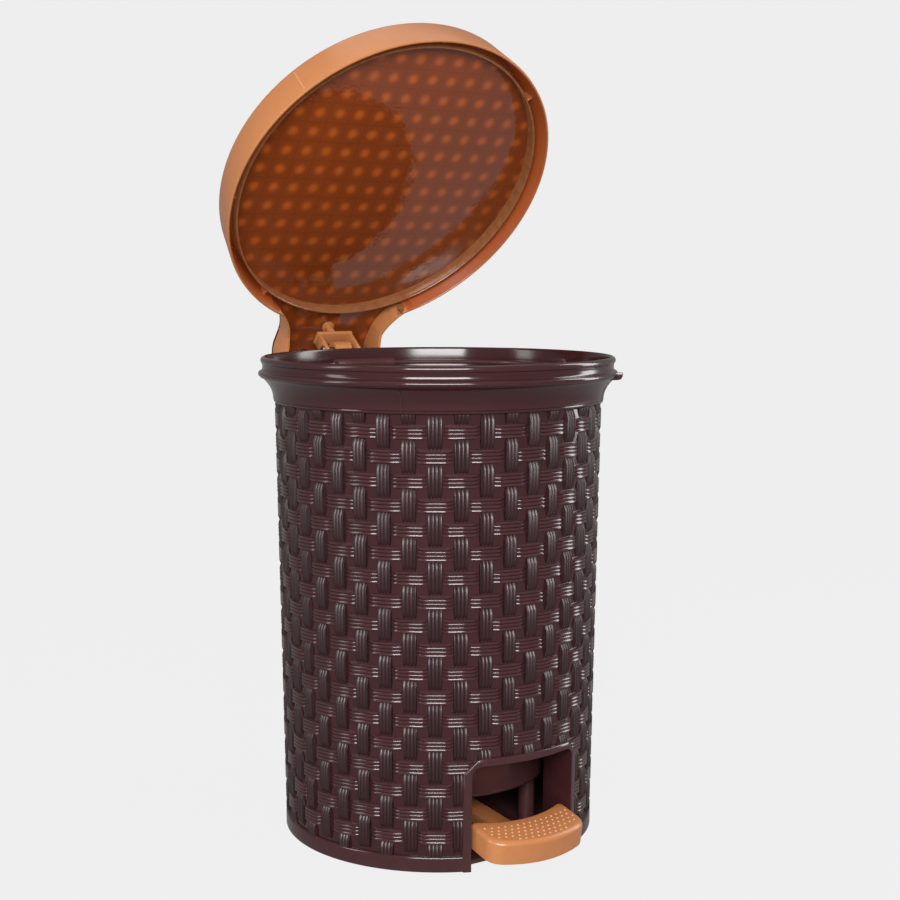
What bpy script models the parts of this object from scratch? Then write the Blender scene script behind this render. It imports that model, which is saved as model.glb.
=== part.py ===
"""Pedal bin with a woven-look shell: every separate piece as its own closed solid.

World frame: metres, +Z up, origin on the bin axis at floor level, pedal toward -Y,
lid hinge toward +Y. Rest pose: lid standing open, pedal partly pressed.
"""
import math

import bmesh
import bpy
from mathutils import Matrix, Vector

# ---------------------------------------------------------------- driving sizes (metres, degrees)
RIM_H = 0.366              # height of the shell rim
RIM_R = 0.1360             # top bead radius
BEAD_R = 0.1378            # second bead radius
FOOT_R = 0.1200            # foot ring radius
FOOT_H = 0.0115            # foot ring height
WALL_TOP_R = 0.1243        # woven wall, mean radius under the collar
WALL_BOT_R = 0.1188        # woven wall, mean radius above the foot
COLLAR_Z = RIM_H - 0.034   # where the collar starts
WALL_T = 0.0024            # moulded wall thickness
ROUND = 84                 # segments of the large round pieces

LID_OPEN = 51.0            # lid angle at rest, from closed
LID_MORE = 14.0            # further opening left at rest
HINGE_Y = 0.174            # lid hinge axis
HINGE_Z = RIM_H - 0.010
LID_SKIRT_R = 0.1394       # skirt edge radius
LID_TOP_R = 0.1335         # top edge radius
LID_TOP = RIM_H + 0.023    # closed lid, top face
LID_T = 0.003              # lid rim thickness
RECESS_R = 0.1278          # recessed panel inside the lid rim
PANEL_TOP = RIM_H + 0.0086
PANEL_T = 0.0024
RIB_R = 0.1300             # locating ring under the lid
RIB_LOW = RIM_H - 0.0035
TAIL_W = 0.046             # half width of the hinge tail
TAIL_T = 0.0026

CLEVIS_ARM = 0.024         # hinge axis to clevis pin
CLEVIS_LOW = 32.5          # clevis pin below the horizontal, lid closed
EAR_X = 0.0135             # clevis ears, inner face
EAR_T = 0.003
BRACKET_Z = 0.0150         # clevis pin up to the underside of the bracket bar

FULCRUM_Y = 0.025          # pedal lever pivot
FULCRUM_Z = 0.022
LEVER_PIN_Y = 0.150        # lever to rod pin at rest
LEVER_PIN_Z = 0.033
PEDAL_HALF_W = 0.042       # foot plate half width
PEDAL_BACK_Y = -0.103
PEDAL_HOLLOW = 0.0100      # how far the back edge is hollowed
PEDAL_CORNER_Y = -0.1355
PEDAL_NOSE_Y = -0.1465
PEDAL_TOP_Z = 0.0343
PEDAL_H = 0.0178
PEDAL_TILT = 10.0
PEDAL_T = 0.0025

SPINE_IN = 0.0205          # channel for the rod: inner half width
SPINE_T = 0.003
SPINE_Y = 0.160            # back edge of the channel walls
SPINE_TOP = RIM_H - 0.036

BUCKET_Z = 0.0415
BUCKET_BOT_R = 0.0840
BUCKET_TOP_R = 0.1080
BUCKET_RIM_Z = RIM_H - 0.0168
BUCKET_RIM_R = 0.1265
BUCKET_T = 0.0020

PIN_R = 0.0030             # hinge and fulcrum pins
CLEVIS_PIN_R = 0.0025
LEVER_PIN_R = 0.0022
LUG_X = 0.1190             # inner face of the bail lugs
BAIL_R = 0.1135            # bail handle arc radius
WIRE_R = 0.0018
SCREW_R = 0.00125

# ---------------------------------------------------------------- fits and clearances
FIT = 0.0003               # gap between parts that do not move against each other
PIN_FIT = 0.00005          # pin in the piece that holds it
RUN = 0.00009              # pin in the piece that turns on it
SLIDE = 0.0005             # rod in its guides, pins in slots
SCREW_HOLE = 0.00025

BASE_T = 0.003
BASE_R = FOOT_R - 0.003 - 0.0005
BASE_CUT_Y = -0.100        # front chord of the base plate
WINDOW_HALF = 0.0448       # pedal opening, half width
WINDOW_TOP = 0.0775
WINDOW_CORNER = 0.007
FRAME_W = 0.0055           # raised frame round the opening
FRAME_PROUD = 0.0010
FRAME_CHAMFER = 0.010


def clear_scene():
    """Empty the scene without touching the user's files."""
    for ob in list(bpy.data.objects):
        bpy.data.objects.remove(ob, do_unlink=True)
    for block in (bpy.data.meshes, bpy.data.materials):
        for item in list(block):
            block.remove(item)


def make_material(name, color, rough, metal=0.0):
    """One Principled material."""
    mat = bpy.data.materials.new(name)
    mat.use_nodes = True
    shader = mat.node_tree.nodes["Principled BSDF"]
    shader.inputs["Base Color"].default_value = (*color, 1.0)
    shader.inputs["Roughness"].default_value = rough
    shader.inputs["Metallic"].default_value = metal
    return mat


def new_object(name, bm):
    """Object from a bmesh, with outward normals."""
    bmesh.ops.recalc_face_normals(bm, faces=bm.faces)
    mesh = bpy.data.meshes.new(name)
    bm.to_mesh(mesh)
    bm.free()
    ob = bpy.data.objects.new(name, mesh)
    bpy.context.scene.collection.objects.link(ob)
    return ob


def revolve(name, profile, steps=ROUND, loop=True, axis="Z"):
    """Turn (radius, height) points about an axis; zero radius makes a pole."""
    bm = bmesh.new()
    rings = []
    for r, h in profile:
        if r < 1e-9:
            rings.append([bm.verts.new((0.0, 0.0, h))])
            continue
        rings.append([bm.verts.new((r * math.cos(2 * math.pi * i / steps),
                                    r * math.sin(2 * math.pi * i / steps), h))
                      for i in range(steps)])
    pairs = list(zip(rings, rings[1:]))
    if loop:
        pairs.append((rings[-1], rings[0]))
    for a, b in pairs:
        if len(a) == 1 and len(b) == 1:
            continue
        for i in range(steps):
            j = (i + 1) % steps
            if len(a) == 1:
                bm.faces.new((a[0], b[i], b[j]))
            elif len(b) == 1:
                bm.faces.new((a[i], a[j], b[0]))
            else:
                bm.faces.new((a[i], a[j], b[j], b[i]))
    if axis == "X":
        bm.transform(Matrix.Rotation(math.radians(90), 4, "Y"))
    return new_object(name, bm)


def prism(name, outline, lo, hi, axis):
    """Extrude a closed outline along X (outline is y, z), Y (x, z) or Z (x, y)."""
    place = {"X": lambda a, b, c: (c, a, b), "Y": lambda a, b, c: (a, c, b),
             "Z": lambda a, b, c: (a, b, c)}[axis]
    bm = bmesh.new()
    low = [bm.verts.new(place(a, b, lo)) for a, b in outline]
    high = [bm.verts.new(place(a, b, hi)) for a, b in outline]
    bm.faces.new(low)
    bm.faces.new(high[::-1])
    n = len(outline)
    for i in range(n):
        j = (i + 1) % n
        bm.faces.new((low[i], low[j], high[j], high[i]))
    return new_object(name, bm)


def block(name, lo, hi):
    """Axis-aligned box between two corners."""
    return prism(name, [(lo[0], lo[1]), (hi[0], lo[1]), (hi[0], hi[1]), (lo[0], hi[1])],
                 lo[2], hi[2], "Z")


def rod(name, radius, lo, hi, axis="Z", centre=(0.0, 0.0), steps=24):
    """Plain cylinder along an axis; centre is given in the other two coordinates."""
    outline = arc(centre, radius, 0.0, 360.0 * (steps - 1) / steps, steps)
    return prism(name, outline, lo, hi, axis)


def arc(centre, radius, start, end, count):
    """Points on an arc, angles in degrees."""
    return [(centre[0] + radius * math.cos(math.radians(start + (end - start) * i / (count - 1))),
             centre[1] + radius * math.sin(math.radians(start + (end - start) * i / (count - 1))))
            for i in range(count)]


def sweep(name, path, radius, steps=10, hollow=0.0):
    """Round tube along a path; a hollow radius makes a sleeve open at both ends."""
    bm = bmesh.new()
    pts = [Vector(p) for p in path]
    walls = [radius] + ([hollow] if hollow else [])
    loops = {w: [] for w in walls}
    for i, p in enumerate(pts):
        ahead = pts[min(i + 1, len(pts) - 1)] - pts[max(i - 1, 0)]
        ahead.normalize()
        side = ahead.cross(Vector((0, 0, 1))).normalized()
        up = side.cross(ahead)
        for w in walls:
            loops[w].append([bm.verts.new(p + side * (w * math.cos(2 * math.pi * k / steps))
                                          + up * (w * math.sin(2 * math.pi * k / steps)))
                             for k in range(steps)])
    for w in walls:
        for a, b in zip(loops[w], loops[w][1:]):
            for k in range(steps):
                j = (k + 1) % steps
                bm.faces.new((a[k], a[j], b[j], b[k]))
    for end in (0, -1):
        if hollow:
            a, b = loops[radius][end], loops[hollow][end]
            for k in range(steps):
                j = (k + 1) % steps
                bm.faces.new((a[k], a[j], b[j], b[k]))
        else:
            bm.faces.new(loops[radius][end])
    return new_object(name, bm)


def combine(target, tool, operation):
    """Apply one exact Boolean and drop the tool."""
    tool.hide_render = True
    tool.display_type = "WIRE"
    mod = target.modifiers.new("join", "BOOLEAN")
    mod.operation = operation
    mod.solver = "EXACT"
    mod.object = tool
    graph = bpy.context.evaluated_depsgraph_get()
    mesh = bpy.data.meshes.new_from_object(target.evaluated_get(graph))
    target.modifiers.remove(mod)
    old = target.data
    target.data = mesh
    bpy.data.meshes.remove(old)
    bpy.data.objects.remove(tool, do_unlink=True)
    return target


def add(target, *tools):
    """Union."""
    for tool in tools:
        combine(target, tool, "UNION")
    return target


def cut(target, *tools):
    """Difference."""
    for tool in tools:
        combine(target, tool, "DIFFERENCE")
    return target


def tidy(ob):
    """Weld tiny slivers left by Booleans and drop stray geometry."""
    bm = bmesh.new()
    bm.from_mesh(ob.data)
    bmesh.ops.remove_doubles(bm, verts=bm.verts, dist=0.00002)
    bmesh.ops.dissolve_degenerate(bm, edges=bm.edges, dist=0.00001)
    bmesh.ops.triangulate(bm, faces=[f for f in bm.faces if len(f.verts) > 4])
    bmesh.ops.recalc_face_normals(bm, faces=bm.faces)
    bm.to_mesh(ob.data)
    bm.free()


def finish(ob, mat, pivot=(0.0, 0.0, 0.0), smooth=35.0, turn=None):
    """Final mesh name, material, origin and shading."""
    tidy(ob)
    if turn is not None:
        ob.data.transform(turn)
    ob.data.transform(Matrix.Translation(-Vector(pivot)))
    ob.location = pivot
    ob.data.name = ob.name
    ob.data.materials.clear()
    ob.data.materials.append(mat)
    ob.data.polygons.foreach_set("use_smooth", [True] * len(ob.data.polygons))
    ob.data.set_sharp_from_angle(angle=math.radians(smooth))
    return ob


def polar(radius, degrees_from_front):
    """Point on a circle, angle from -Y toward +X."""
    a = math.radians(degrees_from_front)
    return radius * math.sin(a), -radius * math.cos(a)


# ---------------------------------------------------------------- derived sizes
def clevis_point(lid_angle):
    """World (y, z) of the clevis pin for a lid angle from closed."""
    b = math.radians(lid_angle - CLEVIS_LOW)
    return HINGE_Y - CLEVIS_ARM * math.cos(b), HINGE_Z + CLEVIS_ARM * math.sin(b)


LIFT_PER_RAD = CLEVIS_ARM * math.sin(math.radians(CLEVIS_LOW)) / math.radians(CLEVIS_LOW)
SLOT_Z = HINGE_Z + LIFT_PER_RAD * math.radians(LID_OPEN - CLEVIS_LOW)
BASE_SCREWS = [polar(0.111, a) for a in (45.0, 135.0, 225.0, 315.0)]
PILLARS = [(0.050, 0.050), (-0.050, 0.050), (0.050, -0.050), (-0.050, -0.050)]
COVER_SCREWS = [(x, z) for z in (0.060, RIM_H - 0.066) for x in (-0.0165, 0.0165)]


def wall_radius(z, outer=True):
    """Woven wall radius at a height."""
    t = (z - FOOT_H) / (COLLAR_Z - FOOT_H)
    r = WALL_BOT_R + (WALL_TOP_R - WALL_BOT_R) * t
    return r if outer else r - WALL_T


def window_outline(grow, top, corner, chamfer=False):
    """Half-closed outline of the pedal opening, open at the bottom."""
    w = WINDOW_HALF + grow
    right = [(w, -0.01), (w, top - corner)]
    if chamfer:
        head = [(w - corner, top), (-w + corner, top)]
    else:
        head = (arc((w - corner, top - corner), corner, 0, 90, 7)[1:]
                + arc((-w + corner, top - corner), corner, 90, 180, 7)[:-1])
    return right + head + [(-w, top - corner), (-w, -0.01)]


# ---------------------------------------------------------------- fixed pieces
def build_shell(mat):
    """Woven-look outer shell with collar, pedal opening, rod channel and hinge cheeks."""
    h = RIM_H
    flare = [(0.1266 + 0.0079 * t * t, COLLAR_Z + 0.002 + 0.016 * t) for t in (0.0, 0.35, 0.7, 1.0)]
    outer = [(FOOT_R, 0.0), (FOOT_R, FOOT_H - 0.001), (WALL_BOT_R, FOOT_H),
             (WALL_TOP_R, COLLAR_Z - 0.002), (WALL_TOP_R + 0.0019, COLLAR_Z)] + flare
    beads = [(BEAD_R - 0.0016, h - 0.0153), (BEAD_R, h - 0.0125), (BEAD_R - 0.0012, h - 0.0104),
             (BEAD_R - 0.0030, h - 0.0094), (RIM_R - 0.0014, h - 0.0070), (RIM_R - 0.0004, h - 0.0050),
             (RIM_R, h - 0.0028), (RIM_R - 0.0006, h - 0.0008), (RIM_R - 0.0020, h)]
    inner = [(RIM_R - 0.0031, h - 0.0006), (RIM_R - 0.0035, h - 0.0020), (RIM_R - 0.0040, h - 0.0160),
             (0.1262, h - 0.0240), (WALL_TOP_R - WALL_T + 0.0014, COLLAR_Z),
             (WALL_TOP_R - WALL_T, COLLAR_Z - 0.006), (WALL_BOT_R - WALL_T, FOOT_H + 0.001),
             (FOOT_R - 0.003, 0.0)]
    shell = revolve("outer_shell", outer + beads + inner)

    # raised frame of the pedal opening
    band = revolve("band", [(WALL_BOT_R - 0.0006, -0.002), (FOOT_R + 0.0013, -0.002),
                            (wall_radius(0.09) + 0.0011 + FRAME_PROUD, 0.090),
                            (WALL_BOT_R - 0.0004, 0.090)])
    frame = prism("frame", window_outline(FRAME_W, WINDOW_TOP + FRAME_W, FRAME_CHAMFER, True),
                  -0.16, -0.05, "Y")
    combine(band, frame, "INTERSECT")
    add(shell, band)

    # channel walls with hinge cheeks, as side outlines
    cheek = [(0.1157, -0.002), (SPINE_Y, -0.002), (SPINE_Y, SPINE_TOP),
             (HINGE_Y + 0.0060, HINGE_Z - 0.0060)]
    cheek += arc((HINGE_Y, HINGE_Z), 0.0085, -45, 145, 12)
    cheek += [(HINGE_Y - 0.0190, HINGE_Z - 0.0070), (0.1372, HINGE_Z - 0.0022),
              (0.1332, RIM_H - 0.0130), (0.1318, RIM_H - 0.0170), (0.1262, COLLAR_Z + 0.006),
              (0.1211, COLLAR_Z - 0.003)]
    for side in (-1, 1):
        lo, hi = sorted((side * SPINE_IN, side * (SPINE_IN + SPINE_T)))
        add(shell, prism("cheek", cheek, lo, hi, "X"))
        lo, hi = sorted((side * (SPINE_IN + 0.001), side * 0.0400))
        add(shell, rod("boss", 0.0075, lo, hi, "X", (HINGE_Y, HINGE_Z), 28))
    add(shell, block("channel_floor", (-SPINE_IN - 0.001, 0.1175, -0.002),
                     (SPINE_IN + 0.001, SPINE_Y - 0.0005, 0.003)))
    for x, z in COVER_SCREWS:
        lo, hi = sorted((math.copysign(0.0125, x), math.copysign(SPINE_IN + 0.001, x)))
        add(shell, block("screw_boss", (lo, SPINE_Y - 0.012, z - 0.0045),
                         (hi, SPINE_Y - FIT, z + 0.0045)))
        cut(shell, rod("screw_hole", SCREW_R + SCREW_HOLE, SPINE_Y - 0.0095, SPINE_Y + 0.01, "Y",
                       (x, z), 12))
    for x, y in BASE_SCREWS:
        add(shell, rod("base_boss", 0.0062, BASE_T + FIT, 0.018, "Z", (x, y), 20))
        cut(shell, rod("base_hole", SCREW_R + SCREW_HOLE, -0.01, 0.0152, "Z", (x, y), 12))

    # small catch lug between the beads, and the pedal opening, lever slot and hinge bore
    a = math.radians(45.0)
    lug = prism("lug", [(RIM_R - 0.003, h - 0.0175), (BEAD_R + 0.0030, h - 0.0165),
                        (BEAD_R + 0.0042, h - 0.0140), (BEAD_R + 0.0042, h - 0.0112),
                        (RIM_R - 0.003, h - 0.0112)], -0.0012, 0.0012, "Y")
    lug.data.transform(Matrix.Rotation(a - math.pi / 2, 4, "Z"))
    add(shell, lug)
    cut(shell, prism("window", window_outline(0.0, WINDOW_TOP, WINDOW_CORNER), -0.16, -0.08, "Y"))
    cut(shell, block("lever_slot", (-0.0125, 0.105, 0.0045), (0.0125, 0.1290, 0.046)))
    cut(shell, rod("hinge_bore", PIN_R + PIN_FIT, -0.06, 0.06, "X", (HINGE_Y, HINGE_Z), 24))
    cut(shell, block("floor_cut", (-0.2, -0.2, -0.02), (0.2, 0.2, 0.0)))
    return finish(shell, mat)


def build_base(mat):
    """Bottom plate with bucket posts and the fulcrum ears."""
    base = revolve("base_plate", [(0.0, 0.0), (BASE_R, 0.0), (BASE_R, BASE_T), (0.0, BASE_T)],
                   72, loop=False)
    cut(base, block("chord", (-0.2, -0.2, -0.01), (0.2, BASE_CUT_Y, 0.02)))
    for x, y in PILLARS:
        add(base, rod("pillar", 0.0065, BASE_T - 0.001, BUCKET_Z - FIT, "Z", (x, y), 20))
    ear = ([(FULCRUM_Y - 0.010, BASE_T - 0.001), (FULCRUM_Y + 0.010, BASE_T - 0.001)]
           + arc((FULCRUM_Y, FULCRUM_Z), 0.0072, 0, 180, 11))
    for side in (-1, 1):
        lo, hi = sorted((side * 0.0115, side * 0.0165))
        add(base, prism("ear", ear, lo, hi, "X"))
    cut(base, rod("bore", PIN_R + PIN_FIT, -0.03, 0.03, "X", (FULCRUM_Y, FULCRUM_Z), 24))
    for x, y in BASE_SCREWS:
        cut(base, rod("hole", SCREW_R + 0.0005, -0.01, 0.01, "Z", (x, y), 12))
        cut(base, rod("sink", 0.0042, -0.01, 0.0016, "Z", (x, y), 20))
    return finish(base, mat)


def screw(name, mat, head_r, head_t, length, at, axis):
    """Pan-head screw: shank along +axis from the head's underside."""
    steps = 12
    prof = [(0.0, -head_t), (head_r * 0.72, -head_t), (head_r, -head_t * 0.45), (head_r, 0.0),
            (SCREW_R, 0.0), (SCREW_R, length - 0.0012), (0.0, length)]
    ob = revolve(name, prof, steps, loop=False)
    cut(ob, block("cross", (-head_r * 0.55, -0.0004, -head_t - 0.001),
                  (head_r * 0.55, 0.0004, -head_t * 0.55)))
    turn = {"Z": Matrix.Identity(4), "-Y": Matrix.Rotation(math.radians(90), 4, "X")}[axis]
    return place(ob, mat, at, turn)


def place(ob, mat, at, turn):
    """Turn a local piece and put its origin at a point."""
    tidy(ob)
    ob.data.transform(turn)
    ob.location = at
    ob.data.name = ob.name
    ob.data.materials.clear()
    ob.data.materials.append(mat)
    ob.data.polygons.foreach_set("use_smooth", [True] * len(ob.data.polygons))
    ob.data.set_sharp_from_angle(angle=math.radians(32))
    return ob


def pin(name, mat, radius, head_r, head_t, lo, hi, y, z, head_side=-1):
    """Headed pin along X; lo and hi bound the shank, the head sits outside one end."""
    head = lo if head_side < 0 else hi
    out = head_side * head_t
    tip = hi if head_side < 0 else lo
    chamfer = -head_side * 0.0006
    prof = [(0.0, head + out), (head_r * 0.8, head + out), (head_r, head + out * 0.55), (head_r, head),
            (radius, head), (radius, tip - chamfer), (radius - 0.0006, tip), (0.0, tip)]
    ob = revolve(name, prof, 20, loop=False, axis="X")
    return place(ob, mat, (0.0, y, z), Matrix.Identity(4))


def clip(name, mat, pin_radius, x, thick, y, z):
    """Push-on retaining ring on a pin along X."""
    inner, outer = pin_radius + PIN_FIT, pin_radius * 1.75
    ob = revolve(name, [(inner, x), (outer, x), (outer, x + thick), (inner, x + thick)], 20, axis="X")
    return place(ob, mat, (0.0, y, z), Matrix.Identity(4))


def build_cover(mat):
    """Back cover of the rod channel."""
    w = SPINE_IN + SPINE_T
    top = SPINE_TOP - FIT
    cover = prism("rear_cover", [(-w, FIT), (w, FIT), (w, top - 0.003), (w - 0.003, top),
                                 (-w + 0.003, top), (-w, top - 0.003)],
                  SPINE_Y + FIT, SPINE_Y + FIT + 0.003, "Y")
    for x, z in COVER_SCREWS:
        cut(cover, rod("hole", SCREW_R + 0.0005, SPINE_Y - 0.01, SPINE_Y + 0.02, "Y", (x, z), 12))
    return finish(cover, mat)


def build_guide(name, z, mat):
    """Guide plate that keeps the rod upright in its channel."""
    w = SPINE_IN - FIT
    y_lo = wall_radius(z) + 0.0015
    guide = block(name, (-w, y_lo, z - 0.003), (w, SPINE_Y - FIT, z + 0.003))
    cut(guide, block("hole", (-0.0040 - SLIDE, 0.1465 - SLIDE, z - 0.01),
                     (0.0040 + SLIDE, 0.1535 + SLIDE, z + 0.01)))
    return finish(guide, mat)


# ---------------------------------------------------------------- lid
def lid_turn():
    """Rotation that takes the closed lid to its rest pose."""
    p = Vector((0.0, HINGE_Y, HINGE_Z))
    return (Matrix.Translation(p) @ Matrix.Rotation(math.radians(-LID_OPEN), 4, "X")
            @ Matrix.Translation(-p))


def tail_plan(inset):
    """Plan outline of the hinge tail, wider where it runs into the skirt."""
    half = [(0.0675, 0.1185), (0.0590, 0.1262), (0.0525, 0.1345), (0.0475, 0.1450),
            (TAIL_W, 0.1560), (TAIL_W, 0.1990)]
    half = [(x - inset, y) for x, y in half]
    return half + [(-x, y) for x, y in reversed(half)]


def tail_side(inset):
    """Side outline of the tail, rounded over the hinge."""
    top = PANEL_TOP - inset
    reach = 0.0118 - inset
    rear = [(HINGE_Y - 0.0040 - inset * 0.6, top), (HINGE_Y + 0.0040 - inset * 0.8, top - 0.0025),
            (HINGE_Y + 0.0095 - inset, top - 0.0075), (HINGE_Y + reach, top - 0.0140)]
    if inset:
        return [(0.110, top), *rear, (HINGE_Y + reach, HINGE_Z - 0.010), (HINGE_Y + reach, 0.2), (0.110, 0.2)]
    knuckle = arc((HINGE_Y, HINGE_Z), reach, 0, -140, 12)
    return [(0.110, top), *rear, *knuckle, (0.1500, RIM_H - 0.0098), (0.110, RIM_H - 0.0098)]


def build_lid(mat):
    """Lid: rim channel, recessed panel, locating ring, gussets, hinge tail and clevis bracket."""
    h, top, low = RIM_H, LID_TOP, RIM_H - 0.0098
    roof, under = top - LID_T, PANEL_TOP - PANEL_T
    prof = [(0.0, PANEL_TOP), (RECESS_R - 0.0015, PANEL_TOP), (RECESS_R, PANEL_TOP + 0.0015),
            (RECESS_R, top - 0.0018), (RECESS_R + 0.0016, top), (LID_TOP_R - 0.0010, top),
            (LID_TOP_R + 0.0008, top - 0.0012), (LID_TOP_R + 0.0017, top - 0.0040), (LID_SKIRT_R, low),
            (LID_SKIRT_R - 0.0022, low), (LID_TOP_R - 0.0013, roof - 0.0005), (RIB_R, roof - 0.0005),
            (RIB_R, RIB_LOW), (RIB_R - 0.0018, RIB_LOW), (RIB_R - 0.0018, under), (0.0, under)]
    lid = revolve("lid_shell", prof, loop=False)

    tail = prism("tail", tail_plan(0.0), RIM_H - 0.05, RIM_H + 0.03, "Z")
    combine(tail, prism("side", tail_side(0.0), -0.08, 0.08, "X"), "INTERSECT")
    mid = revolve("mid", [(0.0, low - 0.03), (LID_SKIRT_R - 0.0010 + 0.0034, low - 0.02),
                          (LID_SKIRT_R - 0.0010, low), (LID_TOP_R + 0.0002, roof - 0.0002),
                          (0.0, roof + 0.0006)], loop=False)
    cut(tail, mid)
    add(lid, tail)
    hollow = prism("hollow", tail_plan(TAIL_T), 0.2, under + 0.0002, "Z")
    combine(hollow, prism("side", tail_side(TAIL_T), -0.08, 0.08, "X"), "INTERSECT")
    cut(hollow, rod("keep", RIB_R + 0.0010, 0.1, 0.6, "Z", (0, 0), ROUND))
    cut(lid, hollow)
    cut(lid, block("rear_gap", (-TAIL_W + TAIL_T, 0.1700, 0.25), (TAIL_W - TAIL_T, 0.22, HINGE_Z + 0.002)))
    web = prism("web", tail_plan(0.0015), under, PANEL_TOP - 0.0002, "Z")
    combine(web, rod("round", LID_SKIRT_R - 0.0040, 0.1, 0.6, "Z", (0, 0), ROUND), "INTERSECT")
    cut(web, rod("keep", RIB_R - 0.0009, 0.1, 0.6, "Z", (0, 0), ROUND))
    add(lid, web)

    for a in (0.0, 48.7, 97.3, 146.0, -48.7, -97.3, -146.0):
        gusset = prism("gusset", [(RIB_R - 0.0009, h + 0.0015), (LID_SKIRT_R - 0.0030, h + 0.0015),
                                  (LID_TOP_R + 0.0004, roof + 0.0005), (RIB_R - 0.0009, roof + 0.0005)],
                       -0.0008, 0.0008, "Y")
        gusset.data.transform(Matrix.Rotation(math.radians(a - 90.0), 4, "Z"))
        add(lid, gusset)

    y, z = clevis_point(0.0)
    bar = z + BRACKET_Z
    ear = [(y + 0.0055, bar + 0.0010), (y - 0.0055, bar + 0.0010)] + arc((y, z), 0.0055, 180, 360, 13)
    for side in (-1, 1):
        lo, hi = sorted((side * EAR_X, side * (EAR_X + EAR_T)))
        add(lid, prism("ear", ear, lo, hi, "X"))
    half = EAR_X + EAR_T + 0.0004
    add(lid, block("bar", (-half, y - 0.0060, bar), (half, y + 0.0060, bar + 0.0030)))
    add(lid, rod("peg", 0.0034, bar + 0.0010, under + 0.0010, "Z", (0.0, y - 0.0015), 20))
    add(lid, rod("boss", 0.0054, under - 0.0016, under + 0.0010, "Z", (0.0, y - 0.0015), 24))
    cut(lid, rod("clevis_bore", CLEVIS_PIN_R + PIN_FIT, -0.03, 0.03, "X", (y, z), 20))
    cut(lid, rod("hinge_bore", PIN_R + RUN, -0.06, 0.06, "X", (HINGE_Y, HINGE_Z), 24))
    return finish(lid, mat, (0.0, HINGE_Y, HINGE_Z), turn=lid_turn())


# ---------------------------------------------------------------- pedal and rod
def pedal_outline(inset):
    """Plan of the foot plate: straight sides, hollowed back edge, bowed nose."""
    w = PEDAL_HALF_W - inset
    nose = [(w * s, PEDAL_CORNER_Y + inset + (PEDAL_NOSE_Y - PEDAL_CORNER_Y) * (1 - s * s))
            for s in (1, 0.85, 0.68, 0.5, 0.25, 0, -0.25, -0.5, -0.68, -0.85, -1)]
    back = [(w * s, PEDAL_BACK_Y - inset - PEDAL_HOLLOW * (1 - s * s))
            for s in (-1, -0.75, -0.5, -0.25, 0, 0.25, 0.5, 0.75, 1)]
    return nose + back


def build_pedal(mat):
    """Foot plate, arm, fulcrum eye and fork as one moulding, pivoted on the fulcrum."""
    plate = prism("pedal_lever", pedal_outline(0.0), -PEDAL_H, 0.0, "Z")
    cut(plate, prism("pocket", pedal_outline(PEDAL_T), -0.05, -PEDAL_T, "Z"))
    p = Vector((0.0, PEDAL_BACK_Y, PEDAL_TOP_Z))
    plate.data.transform(Matrix.Translation(p) @ Matrix.Rotation(math.radians(PEDAL_TILT), 4, "X")
                         @ Matrix.Translation(-Vector((0.0, PEDAL_BACK_Y, 0.0))))
    arm = ([(-0.1340, 0.0130), (-0.1340, 0.0268), (-0.1125, 0.0300), (-0.1085, 0.0190)]
           + arc((FULCRUM_Y, FULCRUM_Z), 0.0068, 125, 62, 6)
           + arc((LEVER_PIN_Y, LEVER_PIN_Z), 0.0058, 95, -85, 12)
           + arc((FULCRUM_Y, FULCRUM_Z), 0.0068, -60, -118, 6)
           + [(-0.1085, 0.0120)])
    add(plate, prism("arm", arm[::-1], -0.0085, 0.0085, "X"))
    cut(plate, block("fork", (-0.0050, LEVER_PIN_Y - 0.014, 0.0), (0.0050, LEVER_PIN_Y + 0.02, 0.06)))
    cut(plate, rod("eye", PIN_R + RUN, -0.02, 0.02, "X", (FULCRUM_Y, FULCRUM_Z), 24))
    cut(plate, rod("pin", LEVER_PIN_R + PIN_FIT, -0.02, 0.02, "X", (LEVER_PIN_Y, LEVER_PIN_Z), 20))
    return finish(plate, mat, (0.0, FULCRUM_Y, FULCRUM_Z))


def slot_outline(centre, half_y, half_z):
    """Round-ended horizontal slot."""
    reach = half_y - half_z
    return (arc((centre[0] + reach, centre[1]), half_z, -90, 90, 9)
            + arc((centre[0] - reach, centre[1]), half_z, 90, 270, 9))


def build_rod(mat):
    """Push rod with a slotted foot."""
    y, z = LEVER_PIN_Y, LEVER_PIN_Z
    outline = [(y - 0.0050, z - 0.0045), (y - 0.0030, z - 0.0062), (y + 0.0030, z - 0.0062),
               (y + 0.0050, z - 0.0045), (y + 0.0050, z + 0.0060), (y + 0.0035, z + 0.0080),
               (y + 0.0035, SLOT_Z - 0.0103), (y - 0.0035, SLOT_Z - 0.0103), (y - 0.0035, z + 0.0080),
               (y - 0.0050, z + 0.0060)]
    ob = prism("push_rod", outline, -0.0040, 0.0040, "X")
    cut(ob, prism("slot", slot_outline((y - 0.0002, z), LEVER_PIN_R + 0.0012, LEVER_PIN_R + SLIDE),
                  -0.01, 0.01, "X"))
    return finish(ob, mat, (0.0, y, z))


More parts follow.
